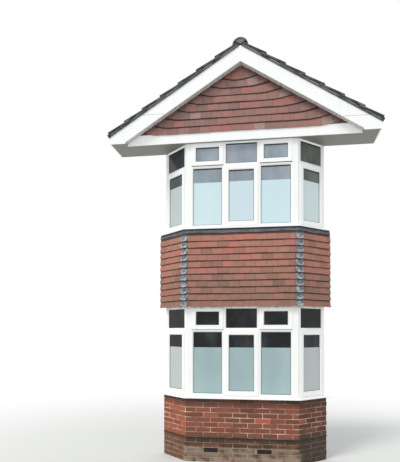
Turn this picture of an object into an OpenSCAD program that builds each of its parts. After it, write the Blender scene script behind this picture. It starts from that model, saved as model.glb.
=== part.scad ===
// A two-storey canted bay window with a tile-hung gable, from the ground to its ridge.
// It is cut off at the outer face of the house wall, which is the plane y = 0.
// The front faces -Y, the house lies towards +Y, and z = 0 is the ground.

/* [Plan] */
// Width of the brick front between its two corners
front_w = 1712; // [1500:4:2100]
// How far the brick front stands out from the house wall
projection = 440; // [380:5:500]
// Angle between a cheek and the house wall
cheek_angle = 45; // [40:1:50]

/* [Brickwork] */
// Height of one brick course with its bed joint
course_h = 75; // [70:1:80]
// Courses below the damp course
plinth_courses = 5; // [4:1:7]
// Courses between the damp course and the sill
wall_courses = 8; // [6:1:10]
// Thickness of one leaf of brick
leaf_t = 102.5; // [90:0.5:110]
// Cavity between the two leaves
cavity_w = 50; // [40:5:75]
// Thickness of the damp course
dpc_t = 12; // [6:1:20]
// How far the damp course stands proud of the brick
dpc_lip = 4; // [1:1:10]
// Thickness of the plaster on the walls
plaster_t = 12.5; // [8:0.5:16]

/* [Air bricks] */
// Width of an air brick
vent_w = 215; // [150:5:230]
// Height of an air brick
vent_h = 65; // [50:5:70]
// Depth of an air brick
vent_t = 50; // [30:5:80]
// Course that holds the air bricks, counted from the ground
vent_course = 3; // [2:1:4]
// Distance of the left air brick from the centre line
vent_left = 467; // [300:5:600]
// Distance of the right air brick from the centre line
vent_right = 346; // [300:5:600]

/* [Timber] */
// Depth of the studs and plates
stud_d = 100; // [75:5:120]
// Thickness of the studs and plates
stud_t = 50; // [38:2:60]
// Thickness of the boarding behind the hung tiles
boarding_t = 25; // [18:1:32]
// Height of the beam over the lower window
lintel_h = 150; // [100:5:200]
// Height of the beam over the upper window
upper_beam_h = 100; // [75:5:150]
// Depth of the floor joists of the first floor
joist_h = 175; // [150:5:225]
// Depth of the joists of the ground floor and of the ceiling
small_joist_h = 100; // [75:5:125]
// Thickness of a joist
joist_t = 50; // [38:2:60]
// Thickness of the floorboards
floorboard_t = 22; // [18:1:28]
// Height of the ground floor above the ground
ground_floor_z = 400; // [330:5:450]
// Height of the first floor above the ground floor
storey_h = 2597; // [2580:1:2640]

/* [Windows] */
// Height of the lower window frames
lower_frame_h = 1405; // [1300:5:1450]
// Height of the upper window frames
upper_frame_h = 1342; // [1250:1:1400]
// Height from the lower frames to the upper frames
frame_gap = 1180; // [1100:1:1250]
// Setback of the frames behind the brick face
frame_setback = 26; // [15:1:32]
// Depth of the frames
frame_d = 70; // [60:1:80]
// Width of a frame member to the glass
frame_face = 58; // [50:1:70]
// Width of the bottom member of a frame to the glass
foot_face = 46; // [42:1:60]
// Width of the splayed edge beside the glass
splay_w = 18; // [10:1:22]
// Depth of the splayed edge
splay_d = 14; // [8:1:18]
// Width of a mullion or transom
mullion_w = 62; // [50:1:80]
// Distance from the centre line to a front mullion
mullion_x = 266; // [220:1:320]
// Height of the top lights in the lower window
lower_toplight_h = 296; // [250:1:360]
// Height of the top lights in the upper window
upper_toplight_h = 302; // [250:1:360]
// Width of a corner post on the front
front_leg = 45; // [35:1:60]
// Width of a corner post on a cheek
cheek_leg = 14; // [8:1:30]
// How far a sash stands proud of its frame
sash_proud = 12; // [6:1:18]
// How far a sash laps onto the flat face of its frame
sash_seat = 2; // [1:0.5:4]
// Width of a sash member inside the opening
sash_face = 45; // [38:1:55]
// Thickness of a double-glazed unit
glass_t = 24; // [20:1:28]
// Share of the height of a tall opening that the privacy film reaches up to
film_share = 0.75; // [0.5:0.005:0.9]

/* [Sills] */
// How far the sill nose stands out from the brick face
sill_nose = 50; // [30:1:70]
// Thickness of a sill under the frame
sill_t = 18; // [14:1:24]
// Depth of the drip below the sill's seat
sill_drip = 6; // [4:1:18]
// How far the lower sill runs on past the cheeks along the wall
sill_horn = 40; // [20:1:60]
// Thickness of the window boards inside
window_board_t = 25; // [18:1:32]
// How far a window board stands out from the plaster
window_board_nose = 25; // [10:1:40]
// Height of the lead apron below the upper sill's seat
apron_h = 72; // [50:1:100]
// Thickness of the lead
lead_t = 3; // [2:0.5:4]

/* [Hung tiles] */
// Thickness of a hung tile
tile_t = 12; // [10:1:15]
// Length of a hung tile
tile_len = 265; // [230:5:280]
// Gauge of the hung tiles between the windows
tile_gauge = 100; // [95:1:115]
// Courses of hung tiles between the windows
tile_courses = 11; // [8:1:12]
// How far the tails of the hung tiles stand out from the brick face
tile_out = 48; // [35:1:50]
// How far the lowest tails hang below the top of the lower frames
tile_drop = 28; // [10:1:32]
// Width of a lead soaker on each side of a corner
soaker_w = 80; // [60:1:110]
// Gauge of the hung tiles on the gable
gable_gauge = 110; // [100:1:115]

/* [Gable and roof] */
// Pitch of the roof
pitch = 32; // [28:0.5:36]
// Height of the eaves boards, from the soffit to the roof
eaves_h = 100; // [85:1:140]
// Half the width of the roof over its eaves boards
gable_half = 2020; // [1980:1:2060]
// Width of the bargeboards
barge_w = 198; // [180:1:225]
// Thickness of the bargeboards and fascias
board_t = 18; // [15:1:25]
// How far the bargeboards stand out from the gable's fascia
barge_out = 116; // [80:1:130]
// How far the bottom of a bargeboard runs in past its slope, to box in the eaves
foot_heel = 35; // [10:1:60]
// How far the gable's fascia stands out from the face of the frames
fascia_out = 64; // [40:1:80]
// Height of the fascia below the gable's tiles
fascia_h = 149; // [100:1:160]
// Thickness of the soffit boards
soffit_t = 10; // [8:1:15]
// How far the frames stand up behind the soffit
head_cover = 26; // [5:1:35]
// Depth of the rafters
rafter_h = 100; // [80:5:125]
// Thickness of the rafters
rafter_t = 40; // [35:1:50]
// Thickness of the roof battens
batten_t = 22; // [18:1:25]
// Width of the roof battens
batten_w = 38; // [32:1:50]
// Gauge of the roof tiles
roof_gauge = 331; // [320:1:335]
// Length of a roof tile
roof_tile_len = 406; // [395:1:420]
// Thickness of a roof tile
roof_tile_t = 24; // [18:1:28]
// How far the roof tiles run past the bargeboards
verge_out = 30; // [15:1:50]
// How far the lowest roof tiles run past the eaves boards
eaves_out = 12; // [5:1:40]
// Half the width of the ridge tiles
ridge_half = 118; // [105:1:125]
// Height of the ridge tiles
ridge_h = 107; // [90:1:110]
// Thickness of the ridge tiles
ridge_t = 15; // [12:1:18]
// Length of a ridge tile
ridge_len = 450; // [300:10:450]

/* [Hidden] */

// Clearance between pieces that seat on each other
seat_gap = 0.3;
// More than any length across the model, for prisms that cut
reach = 2 * front_w;
// Offsets inwards from the brick face: positive is into the house
tile_face = -tile_out;
tile_back = tile_face + lapped_depth(tile_gauge);
stud_face = tile_back + boarding_t;
stud_back = stud_face + stud_d;
frame_back = frame_setback + frame_d;
inner_face = 2 * leaf_t + cavity_w;
lining_face = stud_back + plaster_t;
plaster_face = inner_face + plaster_t;

// Depth that lapped hung tiles take up, rounded up to half a millimetre
function lapped_depth(gauge) = ceil(2 * tile_t * (1 + tile_len / gauge)) / 2;

// Heights
z_dpc = plinth_courses * course_h;
z_lower_seat = z_dpc + wall_courses * course_h;
z_lower_frame = z_lower_seat + sill_t;
z_lower_head = z_lower_frame + lower_frame_h;
z_upper_frame = z_lower_head + frame_gap;
z_upper_seat = z_upper_frame - sill_t;
z_upper_head = z_upper_frame + upper_frame_h;
z_tiles = z_lower_head - tile_drop;
z_first_floor = ground_floor_z + storey_h;
z_joists = z_first_floor - floorboard_t - joist_h;
z_soffit = z_upper_head - head_cover - soffit_t;
z_beam_top = z_upper_head + upper_beam_h;
z_apex = z_soffit + eaves_h + tan(pitch) * gable_half;
z_fascia_top = z_soffit + fascia_h;

// Distances in front of the house wall
frame_front = projection - frame_setback;
fascia_front = frame_front + fascia_out;
fascia_back = fascia_front - board_t;
barge_front = fascia_front + barge_out;
barge_back = barge_front - board_t;
verge_front = barge_front + verge_out;
gable_tile_front = fascia_front + tile_t + 3;
gable_tile_back = gable_tile_front - lapped_depth(gable_gauge);
panel_face = gable_tile_back - boarding_t;
panel_back = panel_face - stud_d;

// Plan of the bay at an offset behind the brick face
function half_front(o) = front_w / 2 - o * tan(cheek_angle / 2);
function wall_x(o) = front_w / 2 + projection / tan(cheek_angle) - o / sin(cheek_angle);
function outline(o) = [
    [-wall_x(o), 0], [-half_front(o), o - projection],
    [half_front(o), o - projection], [wall_x(o), 0]
];
function backwards(points) = [for (i = [len(points) - 1 : -1 : 0]) points[i]];

// Height of the roof at a distance from the centre line, and at a rise square to its slope
function roof_z(x, rise = 0) = z_apex - tan(pitch) * abs(x) + rise / cos(pitch);
// Distance from the centre line where the roof, at that rise, comes down to a height
function roof_x(z, rise = 0) = (roof_z(0, rise) - z) / tan(pitch);

// Flat band that follows the bay's three faces
module band(o_out, o_in, z0, z1) {
    translate([0, 0, z0])
        linear_extrude(z1 - z0)
            polygon(concat(outline(o_out), backwards(outline(o_in))));
}

// Flat plate that fills the bay behind an offset
module plate(o, z0, z1) {
    translate([0, 0, z0])
        linear_extrude(z1 - z0)
            polygon(outline(o));
}

// Places a piece drawn with x along the face and y inwards from the brick face
module on_front() {
    translate([0, -projection, 0]) children();
}

// The same for a cheek, with x = 0 at its corner; side is -1 on the left and 1 on the right
module on_cheek(side) {
    mirror([side < 0 ? 1 : 0, 0, 0])
        translate([front_w / 2, -projection, 0])
            rotate([0, 0, cheek_angle])
                children();
}

// Extrudes an outline of [offset, height] points along x
module run(x0, x1) {
    translate([x0, 0, 0])
        rotate([90, 0, 90])
            linear_extrude(x1 - x0)
                children();
}

// Prisms that cut a piece at the corner mitres and at the house wall
module front_sector(o_out, o_in) {
    translate([0, 0, -reach])
        linear_extrude(4 * reach)
            polygon([
                [-half_front(o_out), o_out - projection], [half_front(o_out), o_out - projection],
                [half_front(o_in), o_in - projection], [-half_front(o_in), o_in - projection]
            ]);
}

module cheek_sector(side, o_out, o_in) {
    mirror([side < 0 ? 1 : 0, 0, 0])
        translate([0, 0, -reach])
            linear_extrude(4 * reach)
                polygon([
                    [half_front(o_out), o_out - projection], [wall_x(o_out), 0],
                    [wall_x(o_in), 0], [half_front(o_in), o_in - projection]
                ]);
}

module front_run(o_out = -200, o_in = 350) {
    intersection() {
        on_front() run(-reach / 2, reach / 2) children();
        front_sector(o_out, o_in);
    }
}

module cheek_run(side, o_out = -200, o_in = 350) {
    intersection() {
        on_cheek(side) run(-reach / 2, reach / 2) children();
        cheek_sector(side, o_out, o_in);
    }
}

// A moulding that follows all three faces, mitred at the corners. Its section is a list of
// [offset, height], and runs anticlockwise as seen from the left of the bay.
module canted_run(section) {
    n = len(section);
    polyhedron(
        points = [for (k = [0 : 3], p = section) concat(outline(p[0])[k], p[1])],
        faces = concat(
            [[for (i = [0 : n - 1]) i], [for (i = [n - 1 : -1 : 0]) 3 * n + i]],
            [for (k = [0 : 2], i = [0 : n - 1])
                let (j = (i + 1) % n) [k * n + j, k * n + i, (k + 1) * n + i, (k + 1) * n + j]]
        ),
        convexity = 4
    );
}

// Cuts off what reaches past the house wall
module to_wall() {
    intersection() {
        children();
        translate([-reach, -2 * reach, -reach]) cube([2 * reach, 2 * reach, 4 * reach]);
    }
}

// Base and brickwork

function vent_places() = [-vent_left, vent_right];
z_vent = (vent_course - 1) * course_h;

module plinth() {
    color("sienna")
        difference() {
            band(0, inner_face, 0, z_dpc - dpc_t);
            for (x = vent_places())
                translate([x - vent_w / 2, -projection - 1, z_vent])
                    cube([vent_w, inner_face + 2, vent_h]);
        }
}

vent_columns = 8;
vent_rows = 3;
vent_bar = 8;

module air_brick() {
    hole_w = (vent_w - vent_bar) / vent_columns - vent_bar;
    hole_h = (vent_h - vent_bar) / vent_rows - vent_bar;
    difference() {
        translate([seat_gap, 0, 0])
            cube([vent_w - 2 * seat_gap, vent_t, vent_h - seat_gap]);
        for (i = [0 : vent_columns - 1], j = [0 : vent_rows - 1])
            translate([vent_bar + i * (hole_w + vent_bar), -1, vent_bar + j * (hole_h + vent_bar)])
                cube([hole_w, vent_t + 2, hole_h]);
    }
}

module air_bricks() {
    color("dimgray")
        for (x = vent_places())
            translate([x - vent_w / 2, -projection, z_vent]) air_brick();
}

module damp_course() {
    color("black") band(-dpc_lip, inner_face, z_dpc - dpc_t, z_dpc);
}

module outer_leaf() {
    color("sienna") band(0, leaf_t, z_dpc, z_lower_seat);
}

module inner_leaf() {
    color("darkgray") band(leaf_t + cavity_w, inner_face, z_dpc, z_lower_seat);
}

module wall_plaster() {
    color("ivory") {
        band(inner_face, plaster_face, ground_floor_z, z_lower_seat);
        band(stud_back, lining_face, z_lower_head, z_joists - plaster_t);
        band(stud_back, lining_face, z_first_floor, z_upper_seat);
        band(stud_back, lining_face, z_upper_head, z_beam_top - plaster_t);
    }
}

// Floors and ceilings

// Joists that run out from the house wall to the front of the bay
module joists(o, z0, h, count) {
    span = 2 * half_front(o) - joist_t;
    for (i = [0 : count - 1])
        translate([-span / 2 - joist_t / 2 + i * span / (count - 1), o - projection, z0])
            cube([joist_t, projection - o, h]);
}

module ground_floor() {
    z_boards = ground_floor_z - floorboard_t;
    color("burlywood") {
        plate(inner_face, z_boards, ground_floor_z);
        joists(inner_face + joist_t, z_boards - small_joist_h, small_joist_h, 5);
        band(inner_face, inner_face + joist_t, z_boards - small_joist_h, z_boards);
    }
}

module ceilings() {
    color("ivory") {
        plate(stud_back, z_joists - plaster_t, z_joists);
        plate(stud_back, z_beam_top - plaster_t, z_beam_top);
    }
}

module first_floor() {
    color("burlywood") {
        plate(stud_back, z_joists + joist_h, z_first_floor);
        joists(stud_back + joist_t, z_joists, joist_h, 5);
        band(stud_back, stud_back + joist_t, z_joists, z_joists + joist_h);
    }
}

// Sills and window boards

// Thickness of the drip, and the height and width of the bevel on the nose
drip_t = 12;
nose_chamfer = 8;
nose_bevel = 6;
nose_fall = 3;

// Outline of a sill, with its seat at height 0
function sill_profile() = [
    [-sill_nose, -sill_drip], [drip_t - sill_nose, -sill_drip], [drip_t - sill_nose, 0],
    [frame_back, 0], [frame_back, sill_t], [frame_setback, sill_t],
    [nose_bevel - sill_nose, sill_t - nose_fall], [-sill_nose, sill_t - nose_chamfer]
];

module sill(z) {
    translate([0, 0, z]) canted_run(sill_profile());
}

// End piece that carries the nose of a sill on along the wall, to the right
module sill_end(z) {
    x = wall_x(-sill_nose) + seat_gap / sin(cheek_angle);
    run_back = sill_horn / tan(cheek_angle);
    translate([0, 0, z - sill_drip])
        linear_extrude(sill_drip + sill_t - nose_chamfer)
            polygon([
                [x, 0], [x - run_back, -sill_horn], [x + sill_horn, -sill_horn], [x + sill_horn, 0]
            ]);
}

module lower_sill() {
    color("white") {
        sill(z_lower_seat);
        for (side = [-1, 1])
            mirror([side < 0 ? 1 : 0, 0, 0]) sill_end(z_lower_seat);
    }
}

module upper_sill() {
    color("white") sill(z_upper_seat);
}

// Outline of a window board that sits on the wall behind the sill
function window_board_profile(back) = [
    [frame_back + seat_gap, 0], [back, 0], [back, sill_t],
    [back + window_board_nose - 4, sill_t], [back + window_board_nose, sill_t + 4],
    [back + window_board_nose, sill_t + window_board_t - 4],
    [back + window_board_nose - 4, sill_t + window_board_t],
    [frame_back + seat_gap, sill_t + window_board_t]
];

module window_boards() {
    color("white") {
        translate([0, 0, z_lower_seat]) canted_run(window_board_profile(plaster_face));
        translate([0, 0, z_upper_seat]) canted_run(window_board_profile(lining_face));
    }
}

// Window frames

// Depth of the glass behind the face of its member
glass_in = splay_d + 9;
// Privacy film, a little in front of the glass
film_t = 0.5;
film_gap = 0.2;
// Groove that holds the glass: its walls, its depth, and its depth beside the house wall
groove_front = glass_in - film_t - 2 * film_gap;
groove_back = glass_in + glass_t + seat_gap;
groove_d = 12;
wall_groove_d = 5;
// How far short of the groove's bottom the glass ends
glass_play = 1;

// Half section of a frame member, from its outer edge to the glass, as [width, depth] points
function member_half(face, depth, groove) = [
    [0, 0], [face - splay_w, 0], [face, splay_d],
    [face, groove_front], [face - groove, groove_front],
    [face - groove, groove_back], [face, groove_back],
    [face, depth - 12], [face - 6, depth], [0, depth]
];

// Section of a mullion or transom about its centre line
function mullion_section() =
    let (half = member_half(mullion_w / 2, frame_d, groove_d))
    concat([for (i = [1 : len(half) - 2]) half[i]],
        [for (i = [len(half) - 2 : -1 : 1]) [-half[i][0], half[i][1]]]);

// Upright bar: its section is drawn with x across and y into the wall
module upright(x, z0, z1) {
    translate([x, 0, z0])
        linear_extrude(z1 - z0)
            children();
}

// Level bar: the same section, turned so that its width runs up
module level(z, x0, x1) {
    translate([x1, 0, z])
        rotate([0, -90, 0])
            linear_extrude(x1 - x0)
                children();
}

// Frame: four outer members, upright mullions at the given places and one transom.
// The member at the far end may have a shallower groove.
module window_frame(x0, x1, h, mullions, toplight_h, end_groove) {
    bury = frame_face - splay_w - 4;
    foot_bury = foot_face - splay_w - 4;
    outer = member_half(frame_face, frame_d, groove_d);
    translate([0, frame_setback, 0]) {
        upright(x0, 0, h) polygon(outer);
        upright(x1, 0, h) mirror([1, 0]) polygon(member_half(frame_face, frame_d, end_groove));
        level(0, x0, x1) polygon(member_half(foot_face, frame_d, groove_d));
        level(h, x0, x1) mirror([1, 0]) polygon(outer);
        for (x = mullions)
            upright(x, foot_bury, h - bury) polygon(mullion_section());
        level(transom_z(h, toplight_h), x0 + bury, x1 - bury) polygon(mullion_section());
    }
}

// Height of a transom's centre above the foot of its frame
function transom_z(h, toplight_h) = h - frame_face - toplight_h - mullion_w / 2;

// Ends of the frames along their faces
front_x = half_front(frame_setback) - front_leg - seat_gap;
cheek_x0 = frame_setback * tan(cheek_angle / 2) + cheek_leg + seat_gap;
cheek_x1 = (projection - frame_setback * cos(cheek_angle)) / sin(cheek_angle);

module front_frame(z, h, toplight_h) {
    on_front()
        translate([0, 0, z])
            window_frame(-front_x, front_x, h, [-mullion_x, mullion_x], toplight_h, groove_d);
}

// A cheek's frame is cut off at the house wall
module cheek_frame(side, z, h, toplight_h) {
    to_wall()
        on_cheek(side)
            translate([0, 0, z])
                window_frame(cheek_x0, cheek_x1, h, [], toplight_h, wall_groove_d);
}

module lower_front_frame() {
    color("white") front_frame(z_lower_frame, lower_frame_h, lower_toplight_h);
}

module lower_left_frame() {
    color("white") cheek_frame(-1, z_lower_frame, lower_frame_h, lower_toplight_h);
}

module lower_right_frame() {
    color("white") cheek_frame(1, z_lower_frame, lower_frame_h, lower_toplight_h);
}

module upper_front_frame() {
    color("white") front_frame(z_upper_frame, upper_frame_h, upper_toplight_h);
}

module upper_left_frame() {
    color("white") cheek_frame(-1, z_upper_frame, upper_frame_h, upper_toplight_h);
}

module upper_right_frame() {
    color("white") cheek_frame(1, z_upper_frame, upper_frame_h, upper_toplight_h);
}

// Post that turns a corner of the windows, on the right; each face has its own leg
module corner_post(z, h) {
    a = cheek_angle;
    cheek_start = frame_setback * tan(a / 2) + cheek_leg;
    x_front = half_front(frame_setback) - front_leg;
    function on_cheek_line(x, o) = [
        front_w / 2 + x * cos(a) - o * sin(a), x * sin(a) + o * cos(a) - projection
    ];
    translate([0, 0, z])
        linear_extrude(h)
            polygon([
                [x_front, frame_setback - projection],
                [half_front(frame_setback), frame_setback - projection],
                on_cheek_line(cheek_start, frame_setback), on_cheek_line(cheek_start, frame_back),
                [half_front(frame_back), frame_back - projection],
                [x_front, frame_back - projection]
            ]);
}

module corner_posts() {
    color("white")
        for (side = [-1, 1])
            mirror([side < 0 ? 1 : 0, 0, 0]) {
                corner_post(z_lower_frame, lower_frame_h);
                corner_post(z_upper_frame, upper_frame_h);
            }
}

// Sashes

// Section of a sash member, from the edge of its opening; depths are from the frame's face
sash_lap = splay_w + sash_seat;
sash_clear = 3;
sash_splay = 10;
sash_depth = 58;
sash_glass_in = 8;

function sash_section() =
    let (g0 = sash_glass_in - film_t - 2 * film_gap, g1 = sash_glass_in + glass_t + seat_gap)
    [
        [-sash_lap, -sash_proud], [sash_face - sash_splay, -sash_proud], [sash_face, 0],
        [sash_face, g0], [sash_face - groove_d, g0], [sash_face - groove_d, g1], [sash_face, g1],
        [sash_face, sash_depth - 14], [sash_face - 8, sash_depth], [sash_clear, sash_depth],
        [sash_clear, -seat_gap], [-sash_lap, -seat_gap]
    ];

// A sash in an opening from x0, z0 to x1, z1
module sash(x0, z0, x1, z1) {
    translate([0, frame_setback, 0])
        difference() {
            union() {
                upright(x0, z0 - sash_lap, z1 + sash_lap) polygon(sash_section());
                upright(x1, z0 - sash_lap, z1 + sash_lap) mirror([1, 0]) polygon(sash_section());
                level(z0, x0 - sash_lap, x1 + sash_lap) polygon(sash_section());
                level(z1, x0 - sash_lap, x1 + sash_lap) mirror([1, 0]) polygon(sash_section());
            }
            sash_trim(x0, z0, x1, z1);
        }
}

// What the ends of the sash members would leave round the part that enters the opening
module sash_trim(x0, z0, x1, z1) {
    far = sash_lap + 1;
    translate([0, -seat_gap, 0])
        rotate([90, 0, 0])
            translate([0, 0, -sash_depth - 1])
                linear_extrude(sash_depth + 1)
                    difference() {
                        translate([x0 - far, z0 - far]) square([x1 - x0 + 2 * far, z1 - z0 + 2 * far]);
                        translate([x0 + sash_clear, z0 + sash_clear])
                            square([x1 - x0 - 2 * sash_clear, z1 - z0 - 2 * sash_clear]);
                    }
}

// Openings of a frame, as [x0, z0, x1, z1] on its own face
function row_z(z, h, toplight_h, top) = top
    ? [z + h - frame_face - toplight_h, z + h - frame_face]
    : [z + foot_face, z + h - frame_face - toplight_h - mullion_w];
function front_columns() = [
    [frame_face - front_x, -mullion_x - mullion_w / 2],
    [-mullion_x + mullion_w / 2, mullion_x - mullion_w / 2],
    [mullion_x + mullion_w / 2, front_x - frame_face]
];
function cheek_column() = [cheek_x0 + frame_face, cheek_x1 - frame_face];
function opening(column, row) = [column[0], row[0], column[1], row[1]];

STOREYS = [
    [z_lower_frame, lower_frame_h, lower_toplight_h],
    [z_upper_frame, upper_frame_h, upper_toplight_h]
];
function storey_row(s, top) = row_z(s[0], s[1], s[2], top);

module sash_in(hole) {
    sash(hole[0], hole[1], hole[2], hole[3]);
}

module front_sashes() {
    color("white")
        on_front()
            for (s = STOREYS) {
                sash_in(opening(front_columns()[0], storey_row(s, true)));
                sash_in(opening(front_columns()[2], storey_row(s, true)));
                sash_in(opening(front_columns()[1], storey_row(s, false)));
            }
}

module side_casements() {
    color("white")
        for (side = [-1, 1])
            on_cheek(side)
                for (s = STOREYS)
                    sash_in(opening(cheek_column(), storey_row(s, false)));
}

// Glass

// Rectangle inside an opening, moved in by a margin on each side
module pane(hole, margin, end_margin, y, t) {
    translate([hole[0] + margin, y, hole[1] + margin])
        cube([hole[2] - hole[0] - margin - end_margin, t, hole[3] - hole[1] - 2 * margin]);
}

fixed_margin = glass_play - groove_d;
wall_margin = glass_play - wall_groove_d;
sash_margin = sash_face - groove_d + glass_play;

module fixed_pane(hole, end_margin = fixed_margin) {
    pane(hole, fixed_margin, end_margin, frame_setback + glass_in, glass_t);
}

module sash_pane(hole) {
    pane(hole, sash_margin, sash_margin, frame_setback + sash_glass_in, glass_t);
}

module window_glass() {
    color("lightslategray", 0.5)
        for (s = STOREYS) {
            on_front() {
                for (i = [0, 2]) {
                    sash_pane(opening(front_columns()[i], storey_row(s, true)));
                    fixed_pane(opening(front_columns()[i], storey_row(s, false)));
                }
                fixed_pane(opening(front_columns()[1], storey_row(s, true)));
                sash_pane(opening(front_columns()[1], storey_row(s, false)));
            }
            for (side = [-1, 1])
                on_cheek(side) {
                    fixed_pane(opening(cheek_column(), storey_row(s, true)), wall_margin);
                    sash_pane(opening(cheek_column(), storey_row(s, false)));
                }
        }
}

// The film ends at the same height in every opening of a row
module film_on(hole, margin, end_margin, glass_face) {
    translate([hole[0] + margin, frame_setback + glass_face - film_gap - film_t, hole[1] + margin])
        cube([
            hole[2] - hole[0] - margin - end_margin, film_t,
            film_share * (hole[3] - hole[1]) - margin
        ]);
}

module privacy_film() {
    color("lightblue")
        for (s = STOREYS) {
            on_front() {
                for (i = [0, 2])
                    film_on(opening(front_columns()[i], storey_row(s, false)),
                        fixed_margin, fixed_margin, glass_in);
                film_on(opening(front_columns()[1], storey_row(s, false)),
                    sash_margin, sash_margin, sash_glass_in);
            }
            for (side = [-1, 1])
                on_cheek(side)
                    film_on(opening(cheek_column(), storey_row(s, false)),
                        sash_margin, sash_margin, sash_glass_in);
        }
}

// Timber wall between the windows

// How far the studs are let into the boarding and the plates
let_in = 2;

// Studs along a face from x0 to x1, behind the boarding; the last may be wider, to reach the house wall
module studs(x0, x1, count, o, z0, z1, last_w = stud_t) {
    for (i = [0 : count - 1]) {
        w = i == count - 1 ? last_w : stud_t;
        translate([x0 + i * (x1 - x0 - last_w) / (count - 1), o - let_in, z0 - let_in])
            cube([w, stud_d, z1 - z0]);
    }
}

module spandrel_frame() {
    z_studs = z_lower_head + lintel_h;
    o_mid = (stud_face + stud_back) / 2;
    cheek_start = o_mid * tan(cheek_angle / 2);
    cheek_end = (projection - stud_face * cos(cheek_angle)) / sin(cheek_angle) + stud_d;
    color("burlywood") {
        band(stud_face, stud_back, z_lower_head, z_studs);
        band(stud_face, stud_back, z_upper_seat - stud_t, z_upper_seat);
        band(tile_back + seat_gap, stud_face, z_lower_head, z_upper_seat);
        on_front()
            studs(-half_front(o_mid), half_front(o_mid), 5, stud_face, z_studs, z_upper_seat);
        for (side = [-1, 1])
            to_wall()
                on_cheek(side)
                    studs(cheek_start, cheek_end, 2, stud_face, z_studs, z_upper_seat, 2 * stud_d);
    }
}

// Hung tiles

// Distance of a course's front behind the first tails, at a height above its own tail
function tile_lean(dz, gauge) = dz * tile_t / gauge;

// Section of one lapped course as [offset, height]: courses below 0 are cut off at the foot
module lapped_course(i, gauge, face, z0, z_foot, z_top) {
    tail = z0 + i * gauge;
    za = i < 0 ? z_foot : tail;
    zb = min(tail + tile_len, z_top);
    t = tile_t - seat_gap;
    if (zb > za)
        polygon([
            [face + tile_lean(za - tail, gauge), za], [face + tile_lean(zb - tail, gauge), zb],
            [face + tile_lean(zb - tail, gauge) + t, zb], [face + tile_lean(za - tail, gauge) + t, za]
        ]);
}

module spandrel_course(i) {
    lapped_course(i, tile_gauge, tile_face, z_tiles, z_lower_head + 1, z_upper_seat - lead_t);
}

module front_hung_tiles() {
    color("indianred")
        for (i = [-2 : tile_courses - 1])
            front_run() spandrel_course(i);
}

module cheek_hung_tiles(side) {
    color("indianred")
        for (i = [-2 : tile_courses - 1])
            cheek_run(side) spandrel_course(i);
}

module left_hung_tiles() {
    cheek_hung_tiles(-1);
}

module right_hung_tiles() {
    cheek_hung_tiles(1);
}

// One wing of a lead soaker: its foot is rounded at the outer corner
module soaker_wing(tail) {
    r = soaker_w / 2;
    h = tile_gauge - seat_gap;
    lean = atan(tile_t / tile_gauge);
    translate([0, tile_face - seat_gap, tail])
        rotate([90 - lean, 0, 0])
            linear_extrude(lead_t) {
                translate([-soaker_w, 0]) square([2 * soaker_w - r, h]);
                translate([0, r]) square([soaker_w, h - r]);
                translate([soaker_w - r, r]) circle(r);
            }
}

module corner_soakers() {
    color("slategray")
        for (i = [0 : tile_courses - 1], side = [-1, 1]) {
            tail = z_tiles + i * tile_gauge;
            intersection() {
                mirror([side < 0 ? 1 : 0, 0, 0])
                    on_front()
                        translate([half_front(tile_face), 0, 0])
                            mirror([1, 0, 0]) soaker_wing(tail);
                front_sector(-200, 200);
            }
            intersection() {
                on_cheek(side)
                    translate([tile_face * tan(cheek_angle / 2), 0, 0]) soaker_wing(tail);
                cheek_sector(side, -200, 200);
            }
        }
}

// Lead apron that hangs from under the upper sill and lies on the top course
module sill_apron() {
    tail = z_tiles + (tile_courses - 1) * tile_gauge;
    za = z_upper_seat - apron_h;
    zb = z_upper_seat - seat_gap;
    fa = tile_face - lead_t - 2 * seat_gap - lead_t + tile_lean(za - tail, tile_gauge);
    fb = fa + tile_lean(zb - za, tile_gauge);
    color("slategray")
        canted_run([[fa, za], [fa + lead_t, za], [fb + lead_t, zb], [fb, zb]]);
}

// Gable

// Extrudes an outline of [x, z] points between two distances in front of the house wall
module slab(near, far) {
    translate([0, -near, 0])
        rotate([90, 0, 0])
            linear_extrude(far - near)
                children();
}

// Triangle under the roof at a rise, down to a height
module roof_triangle(z0, rise) {
    polygon([[-roof_x(z0, rise), z0], [roof_x(z0, rise), z0], [0, roof_z(0, rise)]]);
}

// Beam over the upper window, with the packing in front of it that carries the fascia
module upper_beam() {
    x_end = half_front(frame_setback);
    z0 = z_soffit + soffit_t + seat_gap;
    color("burlywood") {
        band(frame_setback, stud_back, z_upper_head, z_beam_top);
        translate([-x_end, seat_gap - fascia_back, z0])
            cube([2 * x_end, fascia_back - frame_front - 2 * seat_gap, z_beam_top - z0]);
        translate([-x_end, seat_gap - fascia_back, z_upper_head])
            cube([2 * x_end, fascia_back - frame_front + 10, z_beam_top - z_upper_head]);
    }
}

module soffit() {
    foot_x = foot_in();
    edge = gable_half - board_t;
    color("gainsboro")
        translate([0, 0, z_soffit])
            linear_extrude(soffit_t)
                difference() {
                    union() {
                        translate([-edge, -fascia_back]) square([2 * edge, fascia_back]);
                        for (side = [-1, 1])
                            mirror([side < 0 ? 1 : 0, 0])
                                translate([foot_x, -barge_back]) square([edge - foot_x, barge_back]);
                    }
                    polygon(concat([[-reach, 1]], [for (p = outline(frame_setback - seat_gap)) p], [[reach, 1]]));
                }
}

module gable_fascia() {
    x_end = foot_in() - seat_gap;
    color("white")
        slab(fascia_back, fascia_front)
            intersection() {
                translate([-x_end, z_soffit]) square([2 * x_end, fascia_h]);
                roof_triangle(z_soffit - 1, -barge_w - seat_gap);
            }
}

module eaves_fascias() {
    x1 = gable_half;
    x0 = x1 - board_t;
    color("white")
        for (side = [-1, 1])
            mirror([side < 0 ? 1 : 0, 0, 0])
                slab(0, barge_back)
                    polygon([[x0, z_soffit], [x1, z_soffit], [x1, roof_z(x1)], [x0, roof_z(x0)]]);
}

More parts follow.
